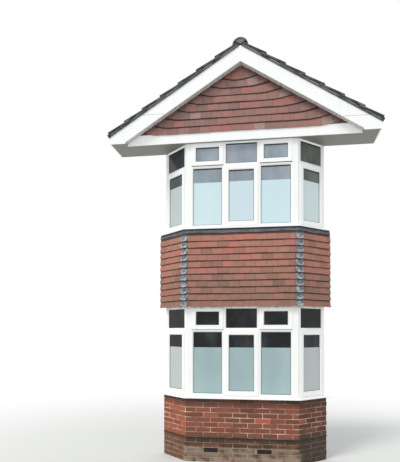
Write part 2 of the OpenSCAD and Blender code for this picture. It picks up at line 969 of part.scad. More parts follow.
// Distance from the centre line where the foot of a bargeboard starts
function foot_in() = roof_x(z_soffit, -barge_w) - foot_heel;

module bargeboard(side) {
    color("white")
        mirror([side < 0 ? 1 : 0, 0, 0])
            slab(barge_back, barge_front)
                polygon([
                    [0, roof_z(0)], [gable_half, roof_z(gable_half)], [gable_half, z_soffit],
                    [foot_in(), z_soffit], [foot_in(), roof_z(foot_in(), -barge_w)],
                    [0, roof_z(0, -barge_w)]
                ]);
}

module left_bargeboard() {
    bargeboard(-1);
}

module right_bargeboard() {
    bargeboard(1);
}

module verge_soffit() {
    z0 = z_soffit + soffit_t;
    color("gray")
        slab(panel_face + boarding_t, barge_back)
            difference() {
                roof_triangle(z0, soffit_t - barge_w);
                roof_triangle(z0 - 1, -barge_w);
            }
}

module gable_tiles() {
    z0 = z_fascia_top - 15;
    courses = floor((roof_z(0, -barge_w) - z0) / gable_gauge) - 1;
    color("indianred")
        for (i = [-2 : courses])
            intersection() {
                translate([0, -gable_tile_front, 0])
                    run(-reach, reach)
                        lapped_course(i, gable_gauge, 0, z0, z_fascia_top + 1, z_apex);
                slab(0, reach) roof_triangle(z0 - 1, -barge_w - seat_gap);
            }
}

module gable_panel() {
    x0 = roof_x(z_beam_top, 0) - 60;
    count = 9;
    color("burlywood")
        difference() {
            union() {
                slab(panel_face, gable_tile_back - seat_gap)
                    roof_triangle(z_beam_top, -seat_gap);
                slab(panel_back, panel_face) {
                    difference() {
                        roof_triangle(z_beam_top, -seat_gap);
                        roof_triangle(z_beam_top - 1, -stud_t);
                    }
                    intersection() {
                        roof_triangle(z_beam_top, -seat_gap);
                        union() {
                            translate([-reach, z_beam_top]) square([2 * reach, stud_t]);
                            for (i = [0 : count - 1])
                                translate([-x0 + i * (2 * x0 - stud_t) / (count - 1), z_beam_top])
                                    square([stud_t, reach]);
                        }
                    }
                }
            }
            ridge_slot();
        }
}

// Roof timbers

ridge_board_t = 25;
ridge_board_h = 150;
z_ridge_foot = z_apex - ridge_board_h - 20;
bearer_h = 50;
// Nearest and farthest faces of the pairs of rafters, in front of the house wall
RAFTERS = [
    [0, rafter_t], [panel_back - rafter_t - seat_gap, panel_back - seat_gap],
    [barge_back - rafter_t - seat_gap, barge_back - seat_gap]
];

module rafter_pair(near, far) {
    z_foot = z_soffit + soffit_t;
    edge = gable_half - board_t;
    slab(near, far)
        intersection() {
            difference() {
                roof_triangle(z_foot, 0);
                roof_triangle(z_foot - 1, -rafter_h);
            }
            translate([-edge, z_foot]) square([2 * edge, reach]);
        }
}

// Tie across a pair, and the bearers that carry the soffit beside the bay
module tie_and_bearers(near, far) {
    x0 = wall_x(tile_face) + 5;
    edge = gable_half - board_t;
    z_foot = z_soffit + soffit_t;
    slab(near, far)
        intersection() {
            union() {
                translate([-reach, z_beam_top]) square([2 * reach, small_joist_h]);
                for (side = [-1, 1])
                    mirror([side < 0 ? 1 : 0, 0])
                        translate([x0, z_foot]) square([edge - x0, bearer_h]);
            }
            roof_triangle(z_foot - 1, -seat_gap);
        }
}

module on_slope(side) {
    mirror([side < 0 ? 1 : 0, 0, 0])
        translate([0, 0, z_apex])
            rotate([0, pitch, 0])
                children();
}

// Distance down the slope of the lowest roof tails, from the apex
slope_len = (gable_half + eaves_out) / cos(pitch);
// Courses of roof tiles on each slope, up to the one that the ridge tiles cover
roof_courses = ceil((slope_len - ridge_half / cos(pitch)) / roof_gauge);
batten_top = batten_t + 2 * seat_gap;
roof_lean = roof_tile_t / roof_gauge;

module rafters() {
    color("burlywood")
        difference() {
            union() {
                for (r = RAFTERS)
                    rafter_pair(r[0], r[1]);
                for (r = [RAFTERS[0], RAFTERS[1]])
                    tie_and_bearers(r[0], r[1]);
            }
            ridge_slot();
        }
}

module ridge_slot() {
    translate([-ridge_board_t / 2 - seat_gap, -reach, z_ridge_foot - seat_gap])
        cube([ridge_board_t + 2 * seat_gap, 2 * reach, 2 * ridge_board_h]);
}

module ridge_board() {
    color("burlywood")
        slab(0, barge_back - seat_gap)
            intersection() {
                translate([-ridge_board_t / 2, z_ridge_foot]) square([ridge_board_t, reach]);
                roof_triangle(z_ridge_foot - reach / 2, 0);
            }
}

module roof_battens() {
    color("burlywood")
        for (side = [-1, 1])
            on_slope(side)
                for (i = [0 : roof_courses - 1])
                    translate([batten_s(i), -barge_back, seat_gap])
                        cube([batten_w, barge_back, batten_t]);
}

// Distance down the slope of the batten under the head of a course
function batten_s(i) = max(slope_len - i * roof_gauge - roof_tile_len + 10, ridge_board_t + 5);

// Roof covering

// Height of a course's underside above the rafters, at a distance down the slope
function course_under(i, s) =
    batten_top + (roof_tile_len - (slope_len - i * roof_gauge - s)) * roof_lean;

module roof_course(i) {
    s1 = slope_len - i * roof_gauge;
    s0 = max(s1 - roof_tile_len, ridge_board_t);
    t = roof_tile_t - seat_gap;
    slab(0, verge_front)
        polygon([
            [s0, course_under(i, s0)], [s1, course_under(i, s1)],
            [s1, course_under(i, s1) + t], [s0, course_under(i, s0) + t]
        ]);
}

module roof_tiles(side) {
    color("dimgray")
        on_slope(side)
            for (i = [0 : roof_courses - 1])
                roof_course(i);
}

module left_roof_tiles() {
    roof_tiles(-1);
}

module right_roof_tiles() {
    roof_tiles(1);
}

// Mortar that fills the verge between the bargeboards and the lowest tiles over them
module verge_bedding() {
    lap = roof_tile_len - roof_gauge;
    color("gray")
        for (side = [-1, 1])
            on_slope(side)
                for (i = [0 : roof_courses - 1]) {
                    s1 = slope_len - i * roof_gauge;
                    s0 = max(s1 - roof_tile_len, ridge_board_t);
                    s_end = i == 0 ? s1 : s1 - lap;
                    slab(barge_back + seat_gap, barge_front + verge_out / 2)
                        polygon([
                            [s0, seat_gap], [s_end, seat_gap],
                            [s_end, course_under(i, s_end) - seat_gap],
                            [s0, course_under(i, s0) - seat_gap]
                        ]);
                }
}

// Outline of the ridge: an arc over its width, and the same arc a thickness inside
module ridge_arc(half, h) {
    r = (half * half + h * h) / (2 * h);
    intersection() {
        translate([0, h - r]) circle(r, $fn = 96);
        translate([-half, 0]) square([2 * half, h + 1]);
    }
}

z_ridge = let (top = roof_courses - 1, s = ridge_half / cos(pitch))
    roof_z(ridge_half, course_under(top, s) + roof_tile_t + 4);

module ridge_tiles() {
    joint = 4;
    color("gray")
        translate([0, 0, z_ridge]) {
            for (near = [0, verge_front - ridge_len + joint / 2])
                slab(near, near == 0 ? verge_front - ridge_len - joint / 2 : verge_front)
                    difference() {
                        ridge_arc(ridge_half, ridge_h);
                        ridge_arc(ridge_half - ridge_t, ridge_h - ridge_t);
                    }
        }
}

plinth();
air_bricks();
damp_course();
outer_leaf();
inner_leaf();
wall_plaster();
ground_floor();
lower_sill();
upper_sill();
window_boards();
corner_posts();
lower_front_frame();
lower_left_frame();
lower_right_frame();
upper_front_frame();
upper_left_frame();
upper_right_frame();
front_sashes();
side_casements();
window_glass();
privacy_film();
spandrel_frame();
first_floor();
ceilings();
front_hung_tiles();
left_hung_tiles();
right_hung_tiles();
corner_soakers();
sill_apron();
upper_beam();
soffit();
gable_fascia();
eaves_fascias();
gable_panel();
gable_tiles();
verge_soffit();
left_bargeboard();
right_bargeboard();
rafters();
ridge_board();
roof_battens();
left_roof_tiles();
right_roof_tiles();
verge_bedding();
ridge_tiles();
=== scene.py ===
# %% [markdown]
# A canted bay window of two storeys: a brick base, white plastic windows, hung clay tiles between them,
# and a gabled roof over both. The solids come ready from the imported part, in metres, with the front
# towards -Y and the ground at z = 0. This lesson gives them their finishes, and lays the bricks, tiles,
# lead and seals one by one where the solids are only plain slabs.

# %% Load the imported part
import math
import random

import bpy
from mathutils import Matrix, Vector


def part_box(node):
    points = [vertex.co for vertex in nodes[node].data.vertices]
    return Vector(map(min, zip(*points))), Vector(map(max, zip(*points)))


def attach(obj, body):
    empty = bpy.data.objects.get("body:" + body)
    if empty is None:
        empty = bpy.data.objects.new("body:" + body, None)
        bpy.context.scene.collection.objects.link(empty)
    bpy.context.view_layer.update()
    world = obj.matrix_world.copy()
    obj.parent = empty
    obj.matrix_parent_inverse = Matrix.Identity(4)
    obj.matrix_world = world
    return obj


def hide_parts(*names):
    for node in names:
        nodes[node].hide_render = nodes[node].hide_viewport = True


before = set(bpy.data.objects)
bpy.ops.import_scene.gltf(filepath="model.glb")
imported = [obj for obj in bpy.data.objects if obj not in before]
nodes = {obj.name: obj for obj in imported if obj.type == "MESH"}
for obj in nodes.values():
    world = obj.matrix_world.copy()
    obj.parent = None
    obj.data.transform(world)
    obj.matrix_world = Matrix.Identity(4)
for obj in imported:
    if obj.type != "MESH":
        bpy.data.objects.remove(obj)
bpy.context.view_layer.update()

print("nodes loaded:", len(nodes))

# %% [markdown]
# The camera stands across the street, a little to the right, and looks level. Its lens is shifted up, so
# that upright lines stay upright as in the photograph, but a little less than would match best, so that
# other views keep the foot of the bay.

# %% Camera
PHOTO_HEIGHT = 462
FOCAL_PIXELS = 503.0
SENSOR = 36.0
STANDPOINT = (0.564, -8.050, 2.007)
LOOK = (math.radians(90.265), 0, math.radians(8.923))
LENS_SHIFT = 0.21

bpy.ops.object.camera_add(location=STANDPOINT, rotation=LOOK)
camera = bpy.context.object
camera.data.sensor_width = SENSOR
camera.data.lens = FOCAL_PIXELS / PHOTO_HEIGHT * SENSOR
camera.data.shift_y = LENS_SHIFT
bpy.context.scene.camera = camera
print("lens:", round(camera.data.lens, 1), "mm")

# %% [markdown]
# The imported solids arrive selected, so each helper first selects one object alone. A primitive is added at
# its size and place. Edges and faces are selected by a rule, which is how they are picked without a mouse.

# %% Helpers for modelling
UPRIGHT = (math.radians(90), 0, 0)


def deselect():
    bpy.ops.object.select_all(action="DESELECT")


def select_only(obj):
    deselect()
    obj.select_set(True)
    bpy.context.view_layer.objects.active = obj


def add(primitive, name, **settings):
    """Adds one primitive by its operator, and puts its place into its mesh."""
    deselect()
    primitive(**settings)
    bpy.ops.object.transform_apply()
    bpy.context.object.name = name
    return bpy.context.object


def add_box(name, low, high):
    """Adds a box between two corners."""
    low, high = Vector(low), Vector(high)
    return add(bpy.ops.mesh.primitive_cube_add, name, size=1, location=(low + high) / 2, scale=high - low)


def edit_all(obj):
    """Goes into edit mode with the whole of one object selected."""
    select_only(obj)
    bpy.ops.object.mode_set(mode="EDIT")
    bpy.ops.mesh.select_all(action="SELECT")


def leave_edit():
    bpy.ops.object.mode_set(mode="OBJECT")


def select_parts(obj, kind, rule):
    """Goes into edit mode with only the edges or faces selected that pass the rule."""
    edit_all(obj)
    bpy.ops.mesh.select_mode(type=kind)
    bpy.ops.mesh.select_all(action="DESELECT")
    leave_edit()
    for part in obj.data.edges if kind == "EDGE" else obj.data.polygons:
        part.select = rule(part)
    bpy.ops.object.mode_set(mode="EDIT")


def select_edges(obj, rule):
    """Selects edges by a rule for the places of their two ends."""
    points = obj.data.vertices
    select_parts(obj, "EDGE", lambda edge: bool(rule(*[points[i].co for i in edge.vertices])))


def cut_along(obj, axis, cuts):
    """Cuts a box into strips: the edges along one axis are subdivided."""
    select_edges(obj, lambda a, b: abs((b - a).normalized()[axis]) > 0.99)
    bpy.ops.mesh.subdivide(number_cuts=cuts)
    leave_edit()


def bevel_edges(obj, rule, width, segments=1):
    select_edges(obj, rule)
    bpy.ops.mesh.bevel(offset=width, segments=segments, profile=0.5)
    leave_edit()


def apply_modifier(obj, kind, **settings):
    """Adds one modifier with its settings and applies it."""
    select_only(obj)
    modifier = obj.modifiers.new(kind.title(), kind)
    for key, value in settings.items():
        setattr(modifier, key, value)
    bpy.ops.object.modifier_apply(modifier=modifier.name)


def turn_outwards(obj):
    """Merges doubles and makes every face point outwards."""
    edit_all(obj)
    bpy.ops.mesh.remove_doubles(threshold=0.00002)
    bpy.ops.mesh.normals_make_consistent(inside=False)
    leave_edit()

# %% [markdown]
# What repeats is modelled once and copied. A copy's points go through a shape, which may trim or bend
# them, and then to their place. On its points each copy keeps a tone from 0 to 1, from which the material
# takes the colour of that one brick or tile. Last, the copies of a wall are joined.

# %% Copies of a pattern
random.seed(1931)


def keep(obj, name, number):
    """Keeps a number on each point of a mesh, where its material can read it."""
    numbers = [number(point.co) for point in obj.data.vertices]
    obj.data.attributes.new(name, "FLOAT", "POINT").data.foreach_set("value", numbers)


def lay(pattern, shape, tone, place=Matrix.Identity(4), exposed=None):
    """Lays one copy; exposed says how far up its visible part a point lies, from 0 to 1."""
    copy = pattern.copy()
    copy.data = pattern.data.copy()
    bpy.context.collection.objects.link(copy)
    if exposed:
        keep(copy, "along", exposed)
    for point in copy.data.vertices:
        point.co = place @ Vector(shape(point.co))
    keep(copy, "tone", lambda spot: tone)
    return copy


def join(name, copies):
    deselect()
    for copy in copies:
        copy.select_set(True)
    bpy.context.view_layer.objects.active = copies[0]
    bpy.ops.object.join()
    joined = bpy.context.object
    joined.name = name
    return joined


def discard(pattern):
    bpy.data.objects.remove(pattern)


def cut_off(obj, planes):
    """Cuts a copy off at planes, each a point and a way out, and closes it. Tells if any is left."""
    for spot, out in planes:
        reach = [(point.co - spot).dot(out.normalized()) for point in obj.data.vertices]
        if min(reach) > -0.002:
            discard(obj)
            return False
        if max(reach) > 0:
            edit_all(obj)
            bpy.ops.mesh.bisect(plane_co=spot, plane_no=out, use_fill=True, clear_outer=True)
            leave_edit()
    return True


def finish_piece(obj, slot, material, *replaced):
    """Hands a finished piece over: what it rides on, its material, and what it replaces; the slot is not
    used.
    """
    obj.data.materials.clear()
    obj.data.materials.append(material)
    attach(obj, "root")
    if replaced:
        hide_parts(*replaced)
    print(obj.name, "faces:", len(obj.data.polygons))


def make_piece(name, copies, slot, material, *replaced):
    """Joins copies into one piece with its faces outwards, and hands it over."""
    piece = join(name, copies)
    turn_outwards(piece)
    finish_piece(piece, slot, material, *replaced)
    return piece

# %% [markdown]
# The plan is a front and two cheeks at 45 degrees, and the roof has a pitch of 32 degrees. Depth is the
# distance inwards from the brick face, as in the part's source. A place on a face is a distance along it,
# a depth and a height, and one matrix for each face turns that into the frame's metres.

# %% Plan and pitch of the bay
FRONT_W = 1.712
PROJECTION = 0.440
CANT = math.radians(45)
HALF_TAN = math.tan(CANT / 2)
MITRE_GAP = 0.001
SIDES = {"left": -1, "right": 1}
PITCH = math.radians(32)
SLOPE = math.tan(PITCH)
APEX = 6.24625


def face_matrix(corner_x, turn):
    return Matrix.Translation((corner_x, -PROJECTION, 0)) @ Matrix.Rotation(turn, 4, "Z")


FACES = {
    "left": face_matrix(-FRONT_W / 2, -CANT),
    "front": face_matrix(0, 0),
    "right": face_matrix(FRONT_W / 2, CANT),
}


def face_ends(face, depth):
    """Where a face starts and ends, at a depth."""
    if face == "front":
        half = FRONT_W / 2 - depth * HALF_TAN
        return -half, half
    start, end = depth * HALF_TAN, (PROJECTION - depth * math.cos(CANT)) / math.sin(CANT)
    return (start, end) if face == "right" else (-end, -start)


def end_planes(face):
    """The two upright planes where a face ends at a mitre, each as a point and a way out."""
    (low, high), (low_in, high_in) = face_ends(face, 0), face_ends(face, 1)
    return [
        (Vector((low + MITRE_GAP, 0, 0)), Vector((-1, low_in - low, 0))),
        (Vector((high - MITRE_GAP, 0, 0)), Vector((1, high - high_in, 0))),
    ]


def outline_point(t, depth):
    """A point on the plan's outline: t runs from 0 at the left wall to 3 at the right wall."""
    k = min(int(t), 2)
    face = ("left", "front", "right")[k]
    start, end = (FACES[face] @ Vector((u, depth, 0)) for u in face_ends(face, depth))
    return start.lerp(end, t - k)


print("half width at the wall:", round(outline_point(3, 0).x, 3), "m")

# %% [markdown]
# Shader maths is easier to read as Python. This class wraps a socket of a material. Adding or multiplying
# two of them adds a Math node, and one method adds any other node: first its settings, then the values or
# links of its sockets.

# %% A socket that does sums
class Socket:
    def __init__(self, tree, link):
        self.tree = tree
        self.link = link

    def node(self, kind, settings, sockets, output=0):
        new = self.tree.nodes.new(kind)
        for name, value in settings.items():
            if name == "stops":
                ramp = new.color_ramp
                while len(ramp.elements) < len(value):
                    ramp.elements.new(0.5)
                for element, (position, color) in zip(ramp.elements, value):
                    element.position = position
                    element.color = color
            else:
                setattr(new, name, value)
        for name, value in sockets.items():
            if isinstance(value, Socket):
                self.tree.links.new(value.link, new.inputs[name])
            else:
                new.inputs[name].default_value = value
        return Socket(self.tree, new.outputs[output])

    def end_in(self, kind):
        """Ends a tree: this shader goes into its output node."""
        self.tree.links.new(self.link, self.tree.nodes.new(kind).inputs["Surface"])

    def maths(self, operation, *values):
        return self.node("ShaderNodeMath", {"operation": operation}, dict(enumerate(values)))

    def __add__(self, other):
        return self.maths("ADD", self, other)

    __radd__ = __add__

    def __sub__(self, other):
        return self.maths("SUBTRACT", self, other)

    def __rsub__(self, other):
        return self.maths("SUBTRACT", other, self)

    def __mul__(self, other):
        return self.maths("MULTIPLY", self, other)

    __rmul__ = __mul__

# %% [markdown]
# A few words make up most finishes: a colour from its hex code, noise at so many cycles to the metre, a
# ramp of colours, a soft step from 0 to 1, and colours mixed or laid over one another.

# %% Words for finishes
def hex_color(code):
    """Colour as a shader wants it, from a code of six hex digits."""
    parts = [int(code[i:i + 2], 16) / 255 for i in (0, 2, 4)]
    return tuple(c / 12.92 if c < 0.0405 else ((c + 0.055) / 1.055) ** 2.4 for c in parts) + (1,)


def start_material(name):
    material = bpy.data.materials.new(name)
    material.use_nodes = True
    tree = material.node_tree
    tree.nodes.clear()
    place = Socket(tree, tree.nodes.new("ShaderNodeTexCoord").outputs["Object"])
    print("finish:", name)
    return material, place


def noise(place, scale, detail, stretch=(1, 1, 1)):
    spot = place.node("ShaderNodeMapping", {}, {"Vector": place, "Scale": stretch})
    return place.node("ShaderNodeTexNoise", {}, {"Vector": spot, "Scale": scale, "Detail": detail})


def ramp(value, *stops):
    """Colours at positions from 0 to 1."""
    stops = [(position, hex_color(code)) for position, code in stops]
    return value.node("ShaderNodeValToRGB", {"stops": stops}, {0: value})


def step(value, low, high):
    """0 below low, 1 above high, and smooth between."""
    sockets = {"Value": value, "From Min": low, "From Max": high}
    return value.node("ShaderNodeMapRange", {"interpolation_type": "SMOOTHSTEP"}, sockets)


def mix(factor, first, second):
    values = {0: factor, 6: first, 7: second}
    values = {k: hex_color(v) if isinstance(v, str) else v for k, v in values.items()}
    return factor.node("ShaderNodeMix", {"data_type": "RGBA"}, values, 2)


def layered(color, *layers):
    """Lays colours over one another, each as far as its mask says."""
    for mask, shade in layers:
        color = mix(mask, color, shade)
    return color


def kept(place, name):
    """A number that is kept on the points of a mesh."""
    return place.node("ShaderNodeAttribute", {"attribute_name": name}, {}, "Fac")


def axis_of(place, letter):
    return place.node("ShaderNodeSeparateXYZ", {}, {0: place}, letter)


def aside(place):
    """How far a point lies to either side of the bay's middle."""
    return place.maths("ABSOLUTE", axis_of(place, "X"))


def finish(place, color, roughness, relief=None, depth=0.001, strength=1.0, **fixed):
    """Ends a material: colour and roughness may be sockets, relief is a height for bumps."""
    sockets = {"Base Color": color, "Roughness": roughness}
    sockets.update({name.replace("_", " "): value for name, value in fixed.items()})
    if relief is not None:
        bump = {"Strength": strength, "Distance": depth, "Height": relief}
        sockets["Normal"] = place.node("ShaderNodeBump", {}, bump)
    place.node("ShaderNodeBsdfPrincipled", {}, sockets).end_in("ShaderNodeOutputMaterial")

# %% [markdown]
# The day is bright and hazy. The world gives an even light from all sides, and shows as plain white to the
# camera, in mirrors and through glass. A wide, weak sun from the upper left makes the left cheek lighter
# than the right one and lays soft shadows under the sills.

# %% World and sun
SKY_STRENGTH = 0.83
SKY_COLOR = (0.93, 0.97, 1.0, 1)
SUN_STRENGTH = 1.42
SUN_COLOR = (1.0, 0.97, 0.92)
SUN_TURN = (math.radians(38), 0, math.radians(-36))
HAZE = math.radians(18)


def sees_white(place):
    """1 for rays from the camera, off mirrors and through glass, which all see plain white."""
    seen = place.node("ShaderNodeLightPath", {}, {}, "Is Camera Ray")
    for kind in ("Is Glossy Ray", "Is Transmission Ray"):
        seen = place.maths("MAXIMUM", seen, place.node("ShaderNodeLightPath", {}, {}, kind))
    return seen


scene = bpy.context.scene
scene.view_settings.view_transform = "Standard"
scene.world = bpy.data.worlds.new("hazy_sky")
scene.world.use_nodes = True
scene.world.node_tree.nodes.clear()
sky = Socket(scene.world.node_tree, None)
daylight = sky.node("ShaderNodeBackground", {}, {"Color": SKY_COLOR, "Strength": SKY_STRENGTH})
white = sky.node("ShaderNodeBackground", {}, {"Color": hex_color("ffffff"), "Strength": 1.0})
seen = sky.node("ShaderNodeMixShader", {}, {0: sees_white(sky), 1: daylight, 2: white})
seen.end_in("ShaderNodeOutputWorld")

bpy.ops.object.light_add(type="SUN", rotation=SUN_TURN)
sun = bpy.context.object.data
sun.energy = SUN_STRENGTH
sun.angle = HAZE
sun.color = SUN_COLOR
print("sky and sun:", SKY_STRENGTH, SUN_STRENGTH)

# %% [markdown]
# Many small parts need no more than a cloudy colour and a fine grain. One function makes such a finish
# from the scale and detail of both noises.

# %% Cloudy finishes
def cloudy(name, clouds, roughness, grain, depth, *stops):
    material, place = start_material(name)
    finish(place, ramp(noise(place, *clouds), *stops), roughness, noise(place, *grain), depth)
    return material


vent_clay = cloudy(
    "vent_clay", (45, 4), 0.8, (300, 2), 0.0008, (0.35, "1f1a18"), (0.6, "3b2f2a"), (0.8, "57493f"),
)
damp_felt = cloudy(
    "damp_felt", (25, 4), 0.85, (120, 3), 0.002, (0.3, "201c1a"), (0.6, "3a302b"), (0.8, "6a5748"),
)
verge_board = cloudy(
    "verge_board", (60, 5), 0.85, (300, 3), 0.0008,
    (0.38, "8f8c8a"), (0.5, "c6c4c2"), (0.6, "e4e1de"), (0.8, "b6bcb3"),
)
rubber = cloudy("rubber_seal", (60, 3), 0.7, (400, 2), 0.0003, (0.4, "1c1f21"), (0.7, "34383b"))
ridge_concrete = cloudy(
    "ridge_concrete", (18, 5), 0.9, (260, 3), 0.0018, (0.3, "4c4d4d"), (0.5, "666766"), (0.7, "858583"),
)
ridge_mortar = cloudy(
    "ridge_mortar", (90, 5), 0.95, (90, 5), 0.004, (0.35, "686765"), (0.55, "858380"), (0.7, "9c9a96"),
)

# %% [markdown]
# The bricks are hard, red-brown stocks. Each has its own shade, from plum to orange, and within it the
# colour drifts and is pitted. Below the damp course they are dark and damp, with cream and grey patches on
# the front where old limewash has stayed on. Light and shade are also painted in on top of the sun's: the
# left cheek is painted lighter and more orange, the right cheek darker, most of all low down where it is
# also damp, and the courses right under the sill carry a painted shadow of the sill with some dirt. A dark
# band runs just under the damp course.

# %% Zones of the brickwork
def wall_zones(place, wander):
    """Where the sill's painted shadow and dirt fall, the dark band just under the damp course, the front,
    and the right cheek.
    """
    height = axis_of(place, "Z")
    sill_shadow_and_dirt = step(height + wander * 0.04, 0.79, 0.97)
    under_damp_band = step(height + wander * 0.06, 0.345, 0.385) * (1 - step(height, 0.372, 0.40))
    forward = 1 - step(axis_of(place, "Y"), -0.43, -0.36)
    on_right = step(axis_of(place, "X"), 0.84, 0.92)
    return sill_shadow_and_dirt, under_damp_band, forward, on_right

# %% Brick
brick, place = start_material("stock_brick")
height = axis_of(place, "Z")
drift = noise(place, 9, 4)
grain = noise(place, 160, 3)
sill_shadow_and_dirt, under_damp_band, forward, on_right = wall_zones(place, drift)
on_left = 1 - step(axis_of(place, "X"), -0.92, -0.84)
pitted = step(noise(place, 75, 5), 0.58, 0.70)
blotched = step(noise(place, 26, 4, (0.7, 0.7, 1.4)), 0.52, 0.70)
rising_damp = 1 - step(height + drift * 0.06, 0.42, 0.60)
damp = 1 - step(height + drift * 0.10, 0.36, 0.44)
washed = 1 - step(height + drift * 0.03, 0.235, 0.262)
limewash = step(noise(place, 6.5, 5, (1, 1, 1.6)) + noise(place, 60, 3) * 0.25, 0.46, 0.68)
soot = step(noise(place, 11, 4, (0.5, 0.5, 1.5)), 0.36, 0.60) * (1 - step(height, 0.36, 0.40))
shade_and_damp_patches = step(noise(place, 8, 5), 0.38, 0.66)
low_right = on_right * (1 - step(height + drift * 0.2, 0.35, 0.75))
bloom = on_right * step(noise(place, 17, 5), 0.56, 0.66) * (1 - step(height, 0.30, 0.42))
color = ramp(
    kept(place, "tone") * 0.86 + drift * 0.2 - 0.03,
    (0.0, "55322a"), (0.25, "754334"), (0.5, "884b3b"), (0.72, "985543"), (0.88, "b15b3f"), (1.0, "c2673f"),
)
color = layered(
    color,
    (step(grain, 0.60, 0.74) * 0.55, "45291f"),
    (pitted * 0.35, "b08c76"),
    (blotched * 0.35, "5a3d31"),
    # Painted shadow of the sill, with some dirt, on the courses right under it.
    (sill_shadow_and_dirt * 0.78, "33261f"),
    (rising_damp * 0.28, "513f2d"),
    (damp * 0.55, "54402f"),
    (limewash * washed * (forward * 0.68 + 0.06), mix(step(height, 0.04, 0.13), "b39c8c", "988d78")),
    (soot * 0.68 * (1 - washed * forward * 0.6), "2b231e"),
    # A dark band just under the damp course.
    (under_damp_band * 0.72, "2a231e"),
    # Painted light: the left cheek is made lighter and more orange, below and above the damp course.
    (on_left * damp * (1 - under_damp_band) * 0.3, "8f5c44"),
    (on_left * (1 - damp) * (1 - sill_shadow_and_dirt) * 0.3, "a8502f"),
    # Painted shade with damp: the right cheek is darkened in patches, most of all low down.
    (low_right * (shade_and_damp_patches * 0.4 + 0.32), "34302a"),
    (bloom * 0.3, "8f877a"),
    (on_right * (shade_and_damp_patches * 0.24 + 0.12), "38281d"),
)
finish(place, color, 0.86 - drift * 0.1, grain + drift * 0.6, 0.0016)

# %% [markdown]
# The mortar is sandy and paler than the bricks. It goes dark where they do: under the sill, as painted
# shadow with some dirt, in a band just under the damp course, and low on the right cheek, as painted shade
# with damp, so both finishes read the same zones.

# %% Mortar
mortar, place = start_material("lime_mortar")
height = axis_of(place, "Z")
sand = noise(place, 420, 2)
patches = noise(place, 6, 4)
sill_shadow_and_dirt, under_damp_band, forward, on_right = wall_zones(place, patches)
damp = 1 - step(height + patches * 0.12, 0.38, 0.46)
washed = 1 - step(height, 0.235, 0.262)
low_right = on_right * (1 - step(height + patches * 0.2, 0.35, 0.8))
color = ramp(
    patches + sand * 0.15 - 0.07,
    (0.34, "84695a"), (0.47, "ac8f78"), (0.58, "cbb097"), (0.72, "e3cfb8"),
)
color = layered(
    color,
    # Painted shadow of the sill, with some dirt.
    (sill_shadow_and_dirt * 0.8, "3a2d26"),
    (damp * 0.6, "6d5a49"),
    (washed * forward * 0.45, "b3a792"),
    # A dark band just under the damp course.
    (under_damp_band * 0.65, "33291f"),
    # Painted shade with damp, low on the right cheek.
    (low_right * 0.6, "3d362c"),
)
finish(place, color, 0.93, sand, 0.0012)

# %% [markdown]
# Window plastic is very white and a little glossy. Rain leaves a faint grey film on it, so colour and
# gloss drift by a few parts in a hundred. On the heads of the lower frames, under the tiles, a greenish-grey
# strip is painted, partly as weathering and partly as the shadow of the tiles. The soffit is the same white
# plastic, coloured mid-grey as painted shade.

# %% White plastic, painted board and soffit
def white_finish(name, clean, dusty, roughness, coat):
    material, spot = start_material(name)
    streaks = noise(spot, 14, 4, (1, 1, 0.15))
    fine = noise(spot, 220, 2)
    shades = mix(step(streaks, 0.5, 0.8) * 0.5, clean, dusty)
    height = axis_of(spot, "Z")
    # Partly weathering, partly painted shadow of the tiles: a greenish-grey strip on the frame heads.
    shadow_and_stain_under_tiles = step(height, 2.335, 2.350) * (1 - step(height, 2.40, 2.41))
    shades = mix(shadow_and_stain_under_tiles * step(fine + streaks, 0.8, 1.2) * 0.8, shades, "b9b8a2")
    finish(spot, shades, streaks * 0.12 + roughness, fine, 0.00012, 0.4, Coat_Weight=coat)
    return material


white_plastic = white_finish("white_plastic", "fbfbfa", "ecedec", 0.26, 0.25)
painted_board = white_finish("painted_board", "eceae4", "dcd9d0", 0.42, 0.0)
roof_boards = white_finish("roof_boards", "fbfbfb", "eff0f0", 0.34, 0.1)
# Painted shade: the soffit is white plastic, coloured mid-grey for the shade under the eaves.
pale_soffit = white_finish("pale_soffit", "7f7f79", "706f69", 0.48, 0.0)

# %% [markdown]
# Each pane is a sealed unit, dark from outside by day, so it is made of tinted glass that lets a little
# through. Its colour carries painted reflections: the upper panes are painted greyer, as of the haze, and
# the lower ones nearly black. Upstairs the right cheek is lighter than the left. A frosted film covers the
# foot of the tall panes, blue with the light behind it and greyer on the cheeks; its colour carries painted
# light and shade too, paler upstairs, darker downstairs, and a little lighter at the foot of the lower
# panes.

# %% Glass and film
def pane_zones(place):
    """Which panes lie on a cheek, which on the right half, and which upstairs."""
    on_cheek = step(axis_of(place, "Y"), -0.364, -0.357)
    on_right = step(axis_of(place, "X"), -0.1, 0.1)
    return on_cheek, on_right, step(axis_of(place, "Z"), 2.6, 3.3)


glass, place = start_material("window_glass")
on_cheek, on_right, upstairs = pane_zones(place)
cloud = noise(place, 3.2, 4, (1, 1, 0.6))
# Painted reflections: the upper panes greyer as of the haze, the lower ones nearly black.
upper = ramp(cloud, (0.3, "7f8794"), (0.5, "949da9"), (0.7, "a4acb5"))
lower = ramp(cloud, (0.35, "0a0c0e"), (0.5, "14171a"), (0.66, "30363a"))
left_cheek = ramp(cloud, (0.35, "262c33"), (0.65, "3a4046"))
right_cheek = ramp(cloud, (0.35, "4d4f4b"), (0.65, "75766f"))
upper = mix(on_cheek * 0.93, upper, mix(on_right, left_cheek, right_cheek))
color = mix(upstairs, lower, upper)
finish(place, color, 0.03, Alpha=0.98, IOR=1.48, Specular_IOR_Level=0.3)

film, place = start_material("frosted_film")
on_cheek, on_right, upstairs = pane_zones(place)
in_middle = 1 - step(aside(place), 0.235, 0.245)
haze = noise(place, 1.7, 3, (1.5, 1, 0.6))
